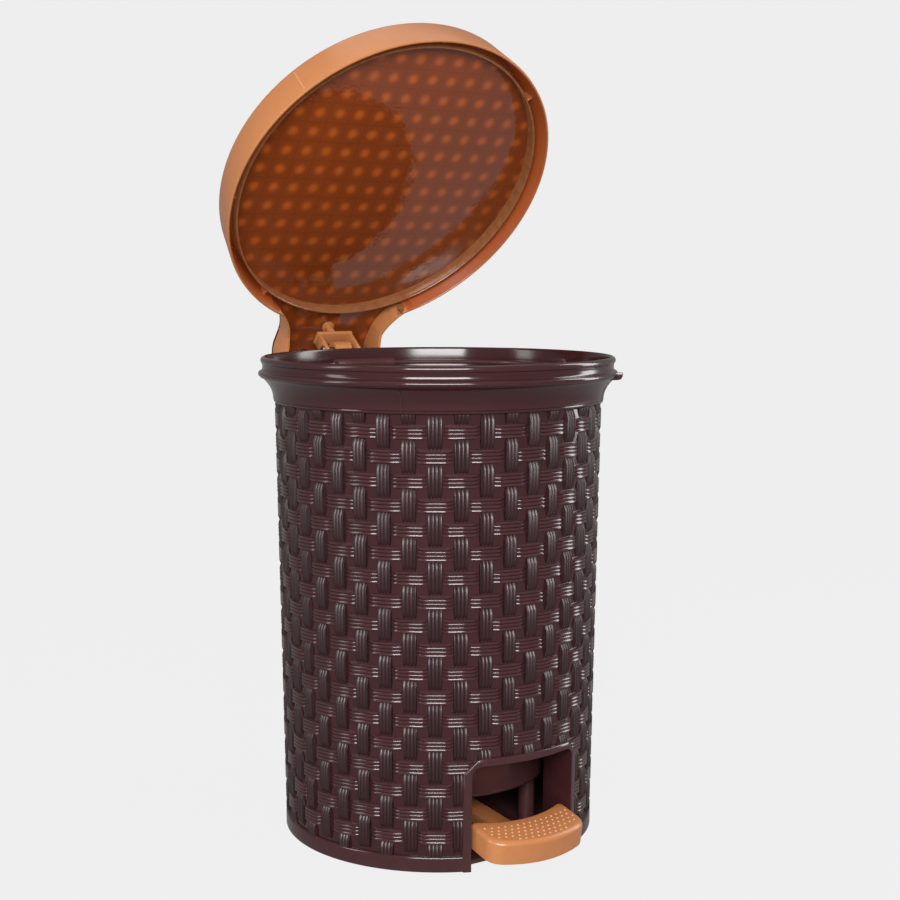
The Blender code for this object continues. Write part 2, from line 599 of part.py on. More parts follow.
def build_rod_head(mat):
    """Yoke on the rod with the slot that the clevis pin rides in."""
    closed_y, crest_y = clevis_point(0.0)[0], HINGE_Y - CLEVIS_ARM
    mid = (closed_y + crest_y) / 2
    swing = max(abs(CLEVIS_ARM * (math.sin(b) - b * LIFT_PER_RAD / CLEVIS_ARM))
                for b in [math.radians(CLEVIS_LOW) * i / 20 for i in range(21)])
    half_z = CLEVIS_PIN_R + swing + SLIDE
    half_y = (closed_y - crest_y) / 2 + CLEVIS_PIN_R + 0.001
    top = arc((mid, SLOT_Z), half_y + 0.0024, 0, 180, 15)
    neck = [(LEVER_PIN_Y - 0.0056, SLOT_Z - 0.0080), (LEVER_PIN_Y - 0.0056, SLOT_Z - 0.0190),
            (LEVER_PIN_Y + 0.0056, SLOT_Z - 0.0190), (LEVER_PIN_Y + 0.0056, SLOT_Z - 0.0080)]
    ob = prism("rod_head", top + neck, -0.0075, 0.0075, "X")
    cut(ob, prism("slot", slot_outline((mid, SLOT_Z), half_y, half_z), -0.02, 0.02, "X"))
    cut(ob, block("socket", (-0.0040 - 0.0002, LEVER_PIN_Y - 0.0037, 0.2),
                  (0.0040 + 0.0002, LEVER_PIN_Y + 0.0037, SLOT_Z - 0.0100)))
    return finish(ob, mat, (0.0, LEVER_PIN_Y, SLOT_Z))


# ---------------------------------------------------------------- bucket and bail
def build_bucket(mat):
    """Lift-out bucket with rim flange and two bail lugs."""
    z0, zr, rb, rt = BUCKET_Z, BUCKET_RIM_Z, BUCKET_BOT_R, BUCKET_TOP_R
    prof = [(0.0, z0), (rb - 0.0035, z0), (rb - 0.0010, z0 + 0.0010), (rb, z0 + 0.0035),
            (rt, zr - 0.0052), (rt + 0.0010, zr - 0.0028), (BUCKET_RIM_R - 0.0003, zr - 0.0024),
            (BUCKET_RIM_R, zr - 0.0008), (BUCKET_RIM_R - 0.0006, zr), (rt - 0.0010, zr),
            (rt - BUCKET_T, zr - 0.0012), (rb - BUCKET_T, z0 + 0.0045), (rb - BUCKET_T - 0.0018, z0 + 0.0026),
            (0.0, z0 + 0.0025)]
    bucket = revolve("inner_bucket", prof, 72, loop=False)
    bz = zr + 0.0053
    for side in (-1, 1):
        lo, hi = sorted((side * LUG_X, side * (LUG_X + 0.0025)))
        lug = [(-0.0070, zr - 0.0010), (0.0070, zr - 0.0010)] + arc((0.0, bz), 0.0052, 0, 180, 11)
        add(bucket, prism("lug", lug, lo, hi, "X"))
    cut(bucket, rod("bail_bore", WIRE_R + RUN, -0.14, 0.14, "X", (0.0, bz), 16))
    return finish(bucket, mat)


def bail_path(z):
    """Bail centre line lying toward the hinge side."""
    start = [(0.1250, 0.0), (0.1178, 0.0), (0.1160, 0.0004), (0.1146, 0.0016), (0.1138, 0.0034)]
    first = math.degrees(math.asin(0.0060 / BAIL_R))
    bow = arc((0.0, 0.0), BAIL_R, first, 180 - first, 41)
    return [(x, y, z) for x, y in start + bow + [(-x, y) for x, y in reversed(start)]]


def build_bail(wire_mat, grip_mat):
    """Bail handle wire and its grip sleeve."""
    z = BUCKET_RIM_Z + 0.0053
    wire = finish(sweep("bail_handle", bail_path(z), WIRE_R), wire_mat, (0.0, 0.0, z), 50)
    path = [(x, y, z) for x, y in arc((0.0, 0.0), BAIL_R, 76, 104, 9)]
    grip = finish(sweep("bail_grip", path, 0.0042, 14, WIRE_R + 0.00035), grip_mat, (0.0, 0.0, z), 50)
    return wire, grip


def main():
    """Build every node."""
    clear_scene()
    maroon = (0.055, 0.018, 0.020)
    tan = (0.58, 0.215, 0.075)
    mats = {n: make_material(n, *a) for n, a in {
        "shell_plastic": (maroon, 0.28), "cover_plastic": (maroon, 0.30), "base_plastic": (maroon, 0.40),
        "lid_plastic": (tan, 0.25), "pedal_plastic": (tan, 0.28), "head_plastic": (tan, 0.30),
        "bucket_plastic": ((0.020, 0.014, 0.014), 0.38), "guide_plastic": ((0.62, 0.60, 0.56), 0.45),
        "grip_plastic": ((0.03, 0.02, 0.02), 0.40), "rod_steel": ((0.55, 0.55, 0.54), 0.35, 1.0),
        "pin_steel": ((0.60, 0.60, 0.60), 0.25, 1.0), "screw_steel": ((0.50, 0.50, 0.50), 0.30, 1.0),
        "wire_steel": ((0.62, 0.62, 0.62), 0.22, 1.0), "clip_steel": ((0.40, 0.40, 0.40), 0.35, 1.0)}.items()}
    build_shell(mats["shell_plastic"])
    build_base(mats["base_plastic"])
    build_cover(mats["cover_plastic"])
    build_guide("rod_guide_lower", 0.110, mats["guide_plastic"])
    build_guide("rod_guide_upper", RIM_H - 0.116, mats["guide_plastic"])
    for i, (x, y) in enumerate(BASE_SCREWS, 1):
        screw(f"base_screw_{i}", mats["screw_steel"], 0.0036, 0.0011, 0.0125, (x, y, 0.0014), "Z")
    for i, (x, z) in enumerate(COVER_SCREWS, 1):
        screw(f"cover_screw_{i}", mats["screw_steel"], 0.0030, 0.0018, 0.0115,
              (x, SPINE_Y + FIT + 0.003 + 0.0002, z), "-Y")
    pin("hinge_pin", mats["pin_steel"], PIN_R, 0.0055, 0.0024, -TAIL_W - FIT, TAIL_W + 0.0040,
        HINGE_Y, HINGE_Z)
    cap = revolve("hinge_cap", [(PIN_R + PIN_FIT, TAIL_W + FIT), (0.0056, TAIL_W + FIT),
                                (0.0056, TAIL_W + 0.0042), (0.0040, TAIL_W + 0.0060), (0.0, TAIL_W + 0.0064),
                                (0.0, TAIL_W + 0.0043), (PIN_R + PIN_FIT, TAIL_W + 0.0043)], 24, axis="X")
    place(cap, mats["lid_plastic"], (0.0, HINGE_Y, HINGE_Z), Matrix.Identity(4))
    pin("fulcrum_pin", mats["pin_steel"], PIN_R, 0.0052, 0.0016, -0.0165 - FIT, 0.0195, FULCRUM_Y, FULCRUM_Z)
    clip("fulcrum_clip", mats["clip_steel"], PIN_R, 0.0165 + FIT, 0.0012, FULCRUM_Y, FULCRUM_Z)

    build_lid(mats["lid_plastic"])
    y, z = clevis_point(LID_OPEN)
    ear = EAR_X + EAR_T
    pin("clevis_pin", mats["pin_steel"], CLEVIS_PIN_R, 0.0042, 0.0012, -ear - FIT, ear + 0.0022, y, z)
    clip("clevis_clip", mats["clip_steel"], CLEVIS_PIN_R, ear + FIT, 0.0009, y, z)

    build_pedal(mats["pedal_plastic"])
    pin("lever_pin", mats["pin_steel"], LEVER_PIN_R, 0.0040, 0.0012, -0.0085 - FIT, 0.0108,
        LEVER_PIN_Y, LEVER_PIN_Z)
    clip("lever_clip", mats["clip_steel"], LEVER_PIN_R, 0.0085 + FIT, 0.0010, LEVER_PIN_Y, LEVER_PIN_Z)
    build_rod(mats["rod_steel"])
    build_rod_head(mats["head_plastic"])
    build_bucket(mats["bucket_plastic"])
    build_bail(mats["wire_steel"], mats["grip_plastic"])


if __name__ == "__main__":
    main()
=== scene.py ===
"""Looks of a pedal waste bin: woven-look shell, open translucent lid, foot plate and linkage."""

import logging
import math
from dataclasses import dataclass
from enum import Enum
from itertools import product
from typing import Callable, Iterable, Optional, Sequence

import bmesh
import bpy
from mathutils import Matrix, Vector


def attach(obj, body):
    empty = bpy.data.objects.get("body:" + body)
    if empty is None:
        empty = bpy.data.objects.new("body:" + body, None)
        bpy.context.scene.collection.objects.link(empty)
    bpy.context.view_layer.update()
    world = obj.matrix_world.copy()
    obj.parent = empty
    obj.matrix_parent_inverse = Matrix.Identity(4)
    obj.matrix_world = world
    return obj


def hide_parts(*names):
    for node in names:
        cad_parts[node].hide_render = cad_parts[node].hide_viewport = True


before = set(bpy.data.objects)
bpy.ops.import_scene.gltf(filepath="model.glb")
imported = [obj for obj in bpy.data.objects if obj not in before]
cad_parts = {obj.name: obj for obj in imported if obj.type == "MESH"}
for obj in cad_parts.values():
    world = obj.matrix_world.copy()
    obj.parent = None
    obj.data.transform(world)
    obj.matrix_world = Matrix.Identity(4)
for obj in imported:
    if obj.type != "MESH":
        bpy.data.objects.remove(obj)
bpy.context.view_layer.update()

logging.basicConfig(level=logging.INFO, format="%(message)s")
log = logging.getLogger("waste_bin")

Point = tuple[float, float]
Colour = tuple[float, float, float]

RIM_H = 0.366          # rim height above the floor
COLLAR_Z = 0.332       # foot of the flared collar
FOOT_H = 0.0115        # foot ring height
HINGE = Vector((0.0, 0.174, 0.356))
LID_OPEN = math.radians(51.0)
FOOT_R = 0.1200        # radius of the woven wall at the foot
WALL_FLARE = 0.0055    # how much wider it is under the collar
WEAVE_PITCH = 0.01725  # distance between strands, on the wall and on the lid
CHANNEL_HALF = 0.0205  # half the inner width of the rod channel
HINGE_BORE = 0.0031    # radius of the hinge holes
CLEVIS_BORE = 0.00256  # radius of the clevis pin holes
CLEVIS_REACH = 0.024   # clevis pin to hinge
CLEVIS_DROP = math.radians(-32.5)  # clevis pin under the hinge when the lid is shut


# ------------------------------------------------------------------ mesh helpers
class Along(Enum):
    """World axis that a flat outline is drawn out along."""

    X = 0
    Y = 1
    Z = 2


def lift_point(a: float, b: float, depth: float, along: Along) -> Vector:
    """Place an outline point in space.

    Args:
        a: first outline coordinate (y for X, x otherwise).
        b: second outline coordinate (z, or y for Z).
        depth: place along the drawing axis.
        along: drawing axis.

    Returns:
        The point in the row frame.
    """
    return {Along.X: Vector((depth, a, b)), Along.Y: Vector((a, depth, b)),
            Along.Z: Vector((a, b, depth))}[along]


def arc_points(centre: Point, radius: float, start: float, end: float, count: int) -> list[Point]:
    """Points on an arc.

    Args:
        centre: arc centre.
        radius: arc radius.
        start: first angle in degrees.
        end: last angle in degrees.
        count: number of points.

    Returns:
        The points in order.
    """
    angles = [math.radians(start + (end - start) * i / (count - 1)) for i in range(count)]
    return [(centre[0] + radius * math.cos(t), centre[1] + radius * math.sin(t)) for t in angles]


def polar(radius: float, degrees: float) -> Point:
    """Point on a circle, angle from the pedal side toward +X."""
    return radius * math.sin(math.radians(degrees)), -radius * math.cos(math.radians(degrees))


def spin_profile(bm: bmesh.types.BMesh, profile: Sequence[Point], steps: int, closed: bool = False) -> None:
    """Turn a profile of radius and height round the bin axis.

    Args:
        bm: mesh that takes the result.
        profile: radius and height points.
        steps: number of steps in the full turn.
        closed: whether the profile is joined end to start.
    """
    verts = [bm.verts.new((0.0, -r, z)) for r, z in profile]
    pairs = list(zip(verts, verts[1:])) + ([(verts[-1], verts[0])] if closed else [])
    edges = [bm.edges.new(p) for p in pairs]
    bmesh.ops.spin(bm, geom=verts + edges, cent=(0, 0, 0), axis=(0, 0, 1), dvec=(0, 0, 0),
                   angle=2 * math.pi, steps=steps, use_merge=True, use_duplicate=False)
    bmesh.ops.remove_doubles(bm, verts=bm.verts, dist=1e-6)


def draw_plate(bm: bmesh.types.BMesh, outline: Sequence[Point], low: float, high: float,
               along: Along) -> list[bmesh.types.BMFace]:
    """Draw a flat outline out into a solid plate.

    Args:
        bm: mesh that takes the plate.
        outline: closed outline.
        low: first place along the axis.
        high: last place along the axis.
        along: drawing axis.

    Returns:
        The faces at the low end and at the high end.
    """
    base = bm.faces.new([bm.verts.new(lift_point(a, b, low, along)) for a, b in outline])
    out = bmesh.ops.extrude_face_region(bm, geom=[base], use_keep_orig=True)
    top = [g for g in out["geom"] if isinstance(g, bmesh.types.BMFace)]
    moved = [g for g in out["geom"] if isinstance(g, bmesh.types.BMVert)]
    bmesh.ops.translate(bm, verts=moved, vec=lift_point(0, 0, high - low, along))
    return [base] + top


def bore(place: Sequence[float], radius: float, length: float, segments: int = 32) -> bmesh.types.BMesh:
    """Solid for a pin hole that runs along X.

    Args:
        place: middle of the hole.
        radius: radius of the hole.
        length: length of the cut.
        segments: sides of the cylinder.

    Returns:
        The closed cylinder.
    """
    bm = bmesh.new()
    bmesh.ops.create_cone(bm, cap_ends=True, segments=segments, radius1=radius, radius2=radius, depth=length,
                          matrix=Matrix.Translation(place) @ Matrix.Rotation(math.radians(90), 4, "Y"))
    return bm


def swing(bm: bmesh.types.BMesh, angle: float) -> None:
    """Turn a mesh about the bin axis by an angle in radians."""
    bmesh.ops.rotate(bm, verts=bm.verts, cent=(0, 0, 0), matrix=Matrix.Rotation(angle, 3, "Z"))


def raised_seam(path: Sequence[Point], turn: float, thickness: float, angle: float) -> bmesh.types.BMesh:
    """Narrow raised line that follows a profile.

    Args:
        path: radius and height points.
        turn: width of the line in degrees about the axis.
        thickness: thickness of the line.
        angle: where the line stands, in degrees.

    Returns:
        The mesh of the line.
    """
    bm = bmesh.new()
    verts = [bm.verts.new((0.0, -r, z)) for r, z in path]
    edges = [bm.edges.new(p) for p in zip(verts, verts[1:])]
    bmesh.ops.spin(bm, geom=verts + edges, cent=(0, 0, 0), axis=(0, 0, 1), dvec=(0, 0, 0),
                   angle=math.radians(turn), steps=1, use_merge=False, use_duplicate=False)
    bmesh.ops.solidify(bm, geom=bm.faces[:], thickness=thickness)
    swing(bm, math.radians(angle))
    return bm


def everything(bm: bmesh.types.BMesh) -> list[object]:
    """Every vertex, edge and face."""
    return bm.verts[:] + bm.edges[:] + bm.faces[:]


def to_mesh(bm: bmesh.types.BMesh, name: str) -> bpy.types.Mesh:
    """Write a working mesh to a new mesh and free it."""
    mesh = bpy.data.meshes.new(name)
    bm.to_mesh(mesh)
    bm.free()
    return mesh


def add_mesh(bm: bmesh.types.BMesh, mesh: bpy.types.Mesh) -> None:
    """Add a mesh to a working mesh and drop it."""
    bm.from_mesh(mesh)
    bpy.data.meshes.remove(mesh)


def to_scene(name: str, data: bpy.types.ID) -> bpy.types.Object:
    """Put new data into the scene as an object."""
    obj = bpy.data.objects.new(name, data)
    bpy.context.scene.collection.objects.link(obj)
    return obj


def shade_smooth(mesh: bpy.types.Mesh, degrees: float) -> None:
    """Smooth shading with sharp edges above an angle."""
    mesh.polygons.foreach_set("use_smooth", [True] * len(mesh.polygons))
    mesh.set_sharp_from_angle(angle=math.radians(degrees))


def round_edges(bm: bmesh.types.BMesh, edges: Iterable[bmesh.types.BMEdge], width: float,
                segments: int = 2) -> None:
    """Round edges with a bevel.

    Args:
        bm: mesh to work on.
        edges: edges to round.
        width: bevel width in metres.
        segments: bevel segments.
    """
    bmesh.ops.bevel(bm, geom=list(edges), offset=width, offset_type="OFFSET", segments=segments,
                    profile=0.5, affect="EDGES", clamp_overlap=True, material=-1)


def sharp_edges(bm: bmesh.types.BMesh, degrees: float = 40.0) -> list[bmesh.types.BMEdge]:
    """Edges whose two faces meet at more than an angle."""
    limit = math.radians(degrees)
    return [e for e in bm.edges if len(e.link_faces) == 2 and e.calc_face_angle(0.0) > limit]


@dataclass
class Piece:
    """One finished visual object."""

    name: str
    bm: bmesh.types.BMesh
    body: str
    slot: str
    material: bpy.types.Material
    smooth: float = 40.0
    flip_check: bool = True

    def place(self, replaces: Sequence[str] = ()) -> bpy.types.Object:
        """Turn the mesh into an object that rides on its body.

        Args:
            replaces: CAD nodes this piece stands for.

        Returns:
            The finished object.
        """
        if self.flip_check:
            bmesh.ops.recalc_face_normals(self.bm, faces=self.bm.faces)
        mesh = to_mesh(self.bm, self.name)
        mesh.materials.append(self.material)
        shade_smooth(mesh, self.smooth)
        obj = to_scene(self.name, mesh)
        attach(obj, self.body)
        if replaces:
            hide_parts(*replaces)
        log.info("%-22s %6d faces on %s", self.name, len(mesh.polygons), self.body)
        return obj


def carve(obj: bpy.types.Object, cutters: Sequence[bmesh.types.BMesh]) -> None:
    """Cut solids out of a placed piece.

    Args:
        obj: piece to cut.
        cutters: closed meshes, freed here.
    """
    for bm in cutters:
        bmesh.ops.recalc_face_normals(bm, faces=bm.faces)
        tool = to_scene("cutter", to_mesh(bm, "cutter"))
        mod = obj.modifiers.new("opening", "BOOLEAN")
        mod.operation, mod.solver, mod.object = "DIFFERENCE", "EXACT", tool
        graph = bpy.context.evaluated_depsgraph_get()
        result = bpy.data.meshes.new_from_object(obj.evaluated_get(graph))
        obj.modifiers.remove(mod)
        old, obj.data = obj.data, result
        bpy.data.meshes.remove(old)
        bpy.data.objects.remove(tool)
    shade_smooth(obj.data, 40.0)


# ------------------------------------------------------------------ shader groups
class NodeSheet:
    """Lays out the nodes of one tree."""

    def __init__(self, tree: bpy.types.NodeTree) -> None:
        """Take the tree that the nodes go into."""
        self.tree = tree

    def link(self, a: bpy.types.NodeSocket, b: bpy.types.NodeSocket) -> None:
        """Join two sockets."""
        self.tree.links.new(a, b)

    def feed(self, item: bpy.types.Node, feeds: dict[object, object]) -> bpy.types.Node:
        """Give inputs their values.

        Args:
            item: node to feed.
            feeds: value or socket by input name or number.

        Returns:
            The same node.
        """
        for key, value in feeds.items():
            if isinstance(value, bpy.types.NodeSocket):
                self.link(value, item.inputs[key])
            else:
                item.inputs[key].default_value = value
        return item

    def node(self, kind: str, feeds: Optional[dict[object, object]] = None,
             **settings: object) -> bpy.types.Node:
        """Add a node.

        Args:
            kind: node type without its prefix.
            feeds: value or socket by input name or number.
            settings: node properties.

        Returns:
            The node.
        """
        item = self.tree.nodes.new("ShaderNode" + kind)
        for key, value in settings.items():
            setattr(item, key, value)
        return self.feed(item, feeds or {})

    def noise(self, vector: bpy.types.NodeSocket, scale: object, **feeds: float) -> bpy.types.Node:
        """Add a noise texture at a scale."""
        return self.node("TexNoise", {"Vector": vector, "Scale": scale, **feeds})

    def math(self, operation: str, a: object, b: object = None, clamp: bool = False) -> bpy.types.NodeSocket:
        """Add a Math node.

        Args:
            operation: Blender's operation name.
            a: first value or socket.
            b: second value or socket.
            clamp: whether the result is clamped to 0..1.

        Returns:
            The result socket.
        """
        feeds = {0: a} if b is None else {0: a, 1: b}
        return self.node("Math", feeds, operation=operation, use_clamp=clamp).outputs[0]

    def multiply_add(self, vector: object, scale: object, shift: object) -> bpy.types.NodeSocket:
        """Scale a vector and add another."""
        return self.node("VectorMath", {0: vector, 1: scale, 2: shift}, operation="MULTIPLY_ADD").outputs[0]

    def ramp(self, value: bpy.types.NodeSocket, low: float, high: float) -> bpy.types.NodeSocket:
        """Soft step from 0 at low to 1 at high."""
        return self.node("MapRange", {"Value": value, "From Min": low, "From Max": high},
                         interpolation_type="SMOOTHSTEP").outputs["Result"]

    def spread(self, value: bpy.types.NodeSocket, low: float, high: float) -> bpy.types.NodeSocket:
        """Map 0..1 to a range."""
        return self.node("MapRange", {"Value": value, "To Min": low, "To Max": high}).outputs["Result"]


class GroupSheet(NodeSheet):
    """One shader node group with named inputs and outputs."""

    def __init__(self, name: str, numbers: dict[str, float], outputs: Sequence[str]) -> None:
        """Start a group that takes a vector.

        Args:
            name: group name.
            numbers: further inputs and their values.
            outputs: output names.
        """
        super().__init__(bpy.data.node_groups.new(name, "ShaderNodeTree"))
        face = self.tree.interface
        face.new_socket(name="Vector", in_out="INPUT", socket_type="NodeSocketVector")
        for key, value in numbers.items():
            face.new_socket(name=key, in_out="INPUT", socket_type="NodeSocketFloat").default_value = value
        for key in outputs:
            face.new_socket(name=key, in_out="OUTPUT", socket_type="NodeSocketFloat")
        self.enter = self.tree.nodes.new("NodeGroupInput").outputs
        self.leave = self.tree.nodes.new("NodeGroupOutput")
        self.vector = self.enter["Vector"]


def make_grain_group() -> bpy.types.NodeTree:
    """Fine moulded grain with a broad uneven tone."""
    g = GroupSheet("moulded_grain", {"Scale": 900.0, "Broad": 14.0}, ("Height", "Tone"))
    fine = g.noise(g.vector, g.enter["Scale"], Detail=3.0, Roughness=0.6)
    broad = g.noise(g.vector, g.enter["Broad"], Detail=4.0)
    g.feed(g.leave, {"Height": fine.outputs["Fac"], "Tone": g.ramp(broad.outputs["Fac"], 0.35, 0.65)})
    return g.tree


def make_edge_group() -> bpy.types.NodeTree:
    """Lighter crests and painted shade in the hollows of a moulded relief."""
    g = GroupSheet("relief_crests_painted_shade", {"Reach": 0.06}, ("Crest", "Hollow"))
    point = g.node("NewGeometry").outputs["Pointiness"]
    breakup = g.noise(g.vector, 160.0, Detail=3.0)
    up = g.math("DIVIDE", g.math("SUBTRACT", point, 0.5), g.enter["Reach"], clamp=True)
    # Hollow is painted shade: it darkens where the surface curves inward between ridges.
    down = g.math("DIVIDE", g.math("SUBTRACT", 0.5, point), g.enter["Reach"], clamp=True)
    crest = g.math("MULTIPLY", up, breakup.outputs["Fac"], clamp=True)
    g.feed(g.leave, {"Crest": crest, "Hollow": down})
    return g.tree


def make_dust_group() -> bpy.types.NodeTree:
    """Light dust that settles on faces turned upward."""
    g = GroupSheet("settled_dust", {"Amount": 0.2}, ("Dust",))
    split = g.node("SeparateXYZ", {0: g.node("NewGeometry").outputs["Normal"]})
    patch = g.noise(g.vector, 55.0, Detail=6.0)
    facing = g.math("MULTIPLY", g.math("SUBTRACT", split.outputs["Z"], 0.25), 1.3, clamp=True)
    mottled = g.math("MULTIPLY", facing, g.math("POWER", patch.outputs["Fac"], 2.0), clamp=True)
    g.feed(g.leave, {"Dust": g.math("MULTIPLY", mottled, g.enter["Amount"], clamp=True)})
    return g.tree


@dataclass(frozen=True)
class SharedEffects:
    """Node groups that the finishes share."""

    grain: bpy.types.NodeTree
    edges: bpy.types.NodeTree
    dust: bpy.types.NodeTree

    @classmethod
    def build(cls) -> "SharedEffects":
        """Build every group once."""
        return cls(make_grain_group(), make_edge_group(), make_dust_group())


# ------------------------------------------------------------------ finishes
class MaterialSheet(NodeSheet):
    """Lays out one material's nodes round its Principled shader."""

    def __init__(self, name: str, effects: SharedEffects) -> None:
        """Start a material with its Principled shader and Object coordinates."""
        self.material = bpy.data.materials.new(name)
        self.material.use_nodes = True
        super().__init__(self.material.node_tree)
        self.shader = self.tree.nodes["Principled BSDF"]
        self.effects = effects
        self.coords = self.node("TexCoord").outputs["Object"]

    def group(self, tree: bpy.types.NodeTree, **values: float) -> bpy.types.Node:
        """Place a shared group and set its inputs."""
        return self.node("Group", {"Vector": self.coords, **values}, node_tree=tree)

    def mix(self, factor: object, a: object, b: object) -> bpy.types.NodeSocket:
        """Mix two colours.

        Args:
            factor: socket or number.
            a: first colour or socket.
            b: second colour or socket.

        Returns:
            The mixed colour.
        """
        first, second = (c if isinstance(c, bpy.types.NodeSocket) else (*c, 1.0) for c in (a, b))
        return self.node("Mix", {0: factor, 6: first, 7: second}, data_type="RGBA").outputs[2]

    def bump(self, height: bpy.types.NodeSocket, distance: float, strength: float,
             below: Optional[bpy.types.NodeSocket] = None) -> bpy.types.NodeSocket:
        """Add a bump.

        Args:
            height: height socket.
            distance: full height in metres.
            strength: bump strength.
            below: normal from another bump.

        Returns:
            The normal socket.
        """
        feeds = {"Distance": distance, "Strength": strength, "Height": height}
        return self.node("Bump", feeds if below is None else {**feeds, "Normal": below}).outputs["Normal"]

    def finish(self, **inputs: object) -> bpy.types.Material:
        """Feed the Principled shader and hand over the material.

        Args:
            inputs: value or socket by input name, with _ for each space.

        Returns:
            The finished material.
        """
        self.feed(self.shader, {key.replace("_", " "): value for key, value in inputs.items()})
        return self.material


@dataclass(frozen=True)
class MouldedPlastic:
    """Injection-moulded plastic with grain, lighter crests, painted shade in the hollows and light dust."""

    name: str
    base: Colour
    deep: Colour
    crest_tint: Colour
    roughness: tuple[float, float] = (0.24, 0.36)
    grain: float = 0.00002
    hollow_shading: float = 0.5
    reach: float = 0.06
    dust: float = 0.12
    dust_colour: Colour = (0.30, 0.27, 0.25)
    glow: float = 0.0

    def make(self, effects: SharedEffects) -> bpy.types.Material:
        """Build the material.

        Args:
            effects: shared node groups.

        Returns:
            The finished material.
        """
        m = MaterialSheet(self.name, effects)
        grain = m.group(effects.grain).outputs
        edges = m.group(effects.edges, Reach=self.reach).outputs
        dust = m.group(effects.dust, Amount=self.dust).outputs
        painted_hollow_colour = tuple(c * 0.25 for c in self.deep)
        colour = m.mix(m.spread(grain["Tone"], 0.0, 0.35), self.base, self.deep)
        # Painted shade: hollows darken toward a quarter of the deep colour.
        colour = m.mix(m.spread(edges["Hollow"], 0.0, self.hollow_shading), colour, painted_hollow_colour)
        # Crests lighten toward the crest tint.
        colour = m.mix(m.spread(edges["Crest"], 0.0, 0.6), colour, self.crest_tint)
        colour = m.mix(dust["Dust"], colour, self.dust_colour)
        # Painted glow: the colour is also given off as emission, standing in for light coming through the
        # plastic.
        if self.glow:
            m.finish(Emission_Color=colour, Emission_Strength=self.glow)
        return m.finish(Base_Color=colour, Roughness=m.spread(grain["Tone"], *self.roughness),
                        Normal=m.bump(grain["Height"], self.grain, 0.5))


@dataclass(frozen=True)
class LitPanel:
    """Thin translucent lid panel with painted light: soft light spots where the weave above leaves gaps, and
    a painted glow.
    """

    name: str
    lit_spot: Colour
    panel_base: Colour
    strand: Colour
    pitch: float = WEAVE_PITCH
    shift: Point = (-0.0025, 0.0)
    drift: float = 0.0020
    spot: float = 0.0064
    line: float = 0.0016
    roughness: float = 0.05
    glow: float = 0.22

    def make(self, effects: SharedEffects) -> bpy.types.Material:
        """Build the material in the closed lid's own axes.

        Args:
            effects: shared node groups.

        Returns:
            The finished material.
        """
        m = MaterialSheet(self.name, effects)
        back = HINGE - Matrix.Rotation(LID_OPEN, 3, "X") @ HINGE
        lid = m.node("Mapping", {"Rotation": (LID_OPEN, 0.0, 0.0), "Location": back, "Vector": m.coords},
                     vector_type="POINT").outputs["Vector"]
        pitch, half = self.pitch, self.pitch / 2
        wobble = m.noise(lid, 70.0).outputs["Color"]
        drift = m.multiply_add(wobble, (self.drift, self.drift, 0.0), lid)
        start = tuple(-(shift + self.drift / 2) / pitch for shift in self.shift)
        cells = m.multiply_add(drift, (1 / pitch, 1 / pitch, 0.0), (*start, 0.5))
        part = m.node("VectorMath", {0: cells}, operation="FRACTION").outputs[0]
        centred = m.multiply_add(part, (pitch, pitch, 0.0), (-half, -half, 0.0))
        size = m.node("VectorMath", {0: centred}, operation="LENGTH").outputs["Value"]
        spot = m.ramp(size, self.spot, self.spot * 0.10)
        sides = m.node("SeparateXYZ", {0: centred}).outputs
        lines = [m.ramp(m.math("ABSOLUTE", sides[axis]), half - self.line, half) for axis in ("X", "Y")]
        grain = m.group(effects.grain, Scale=260.0, Broad=9.0)
        seam = tuple(c * 0.55 for c in self.panel_base)
        colour = m.mix(m.spread(grain.outputs["Tone"], 0.0, 0.6), self.panel_base, self.strand)
        # Darker lines along the cell borders between the spots.
        colour = m.mix(m.spread(m.math("MAXIMUM", *lines), 0.0, 0.22), colour, seam)
        # Painted light: bright spots where light would come through the gaps in the weave.
        colour = m.mix(m.spread(spot, 0.0, 0.72), colour, self.lit_spot)
        wave = m.bump(m.noise(lid, 130.0, Detail=2.0).outputs["Fac"], 0.0007, 0.55)
        # Painted glow: the panel gives off its own colour as emission.
        return m.finish(Base_Color=colour, Emission_Color=colour, Emission_Strength=self.glow,
                        Roughness=self.roughness, Normal=m.bump(spot, 0.00008, 0.4, wave),
                        Coat_Weight=0.3, Coat_Roughness=0.04)


@dataclass(frozen=True)
class PlainMetal:
    """Drawn or turned steel with fine lines and a little tarnish."""

    name: str
    base: Colour
    dull: Colour
    roughness: tuple[float, float] = (0.22, 0.42)
    stretch: tuple[float, float, float] = (900.0, 40.0, 40.0)

    def make(self, effects: SharedEffects) -> bpy.types.Material:
        """Build the material.

        Args:
            effects: shared node groups.

        Returns:
            The finished material.
        """
        m = MaterialSheet(self.name, effects)
        lines = m.node("Mapping", {"Scale": self.stretch, "Vector": m.coords})
        brush = m.noise(lines.outputs["Vector"], 1.0, Detail=4.0).outputs["Fac"]
        tone = m.group(effects.grain, Scale=400.0, Broad=60.0).outputs["Tone"]
        return m.finish(Base_Color=m.mix(m.spread(tone, 0.0, 0.7), self.base, self.dull), Metallic=1.0,
                        Roughness=m.spread(brush, *self.roughness), Normal=m.bump(brush, 0.00003, 0.4))


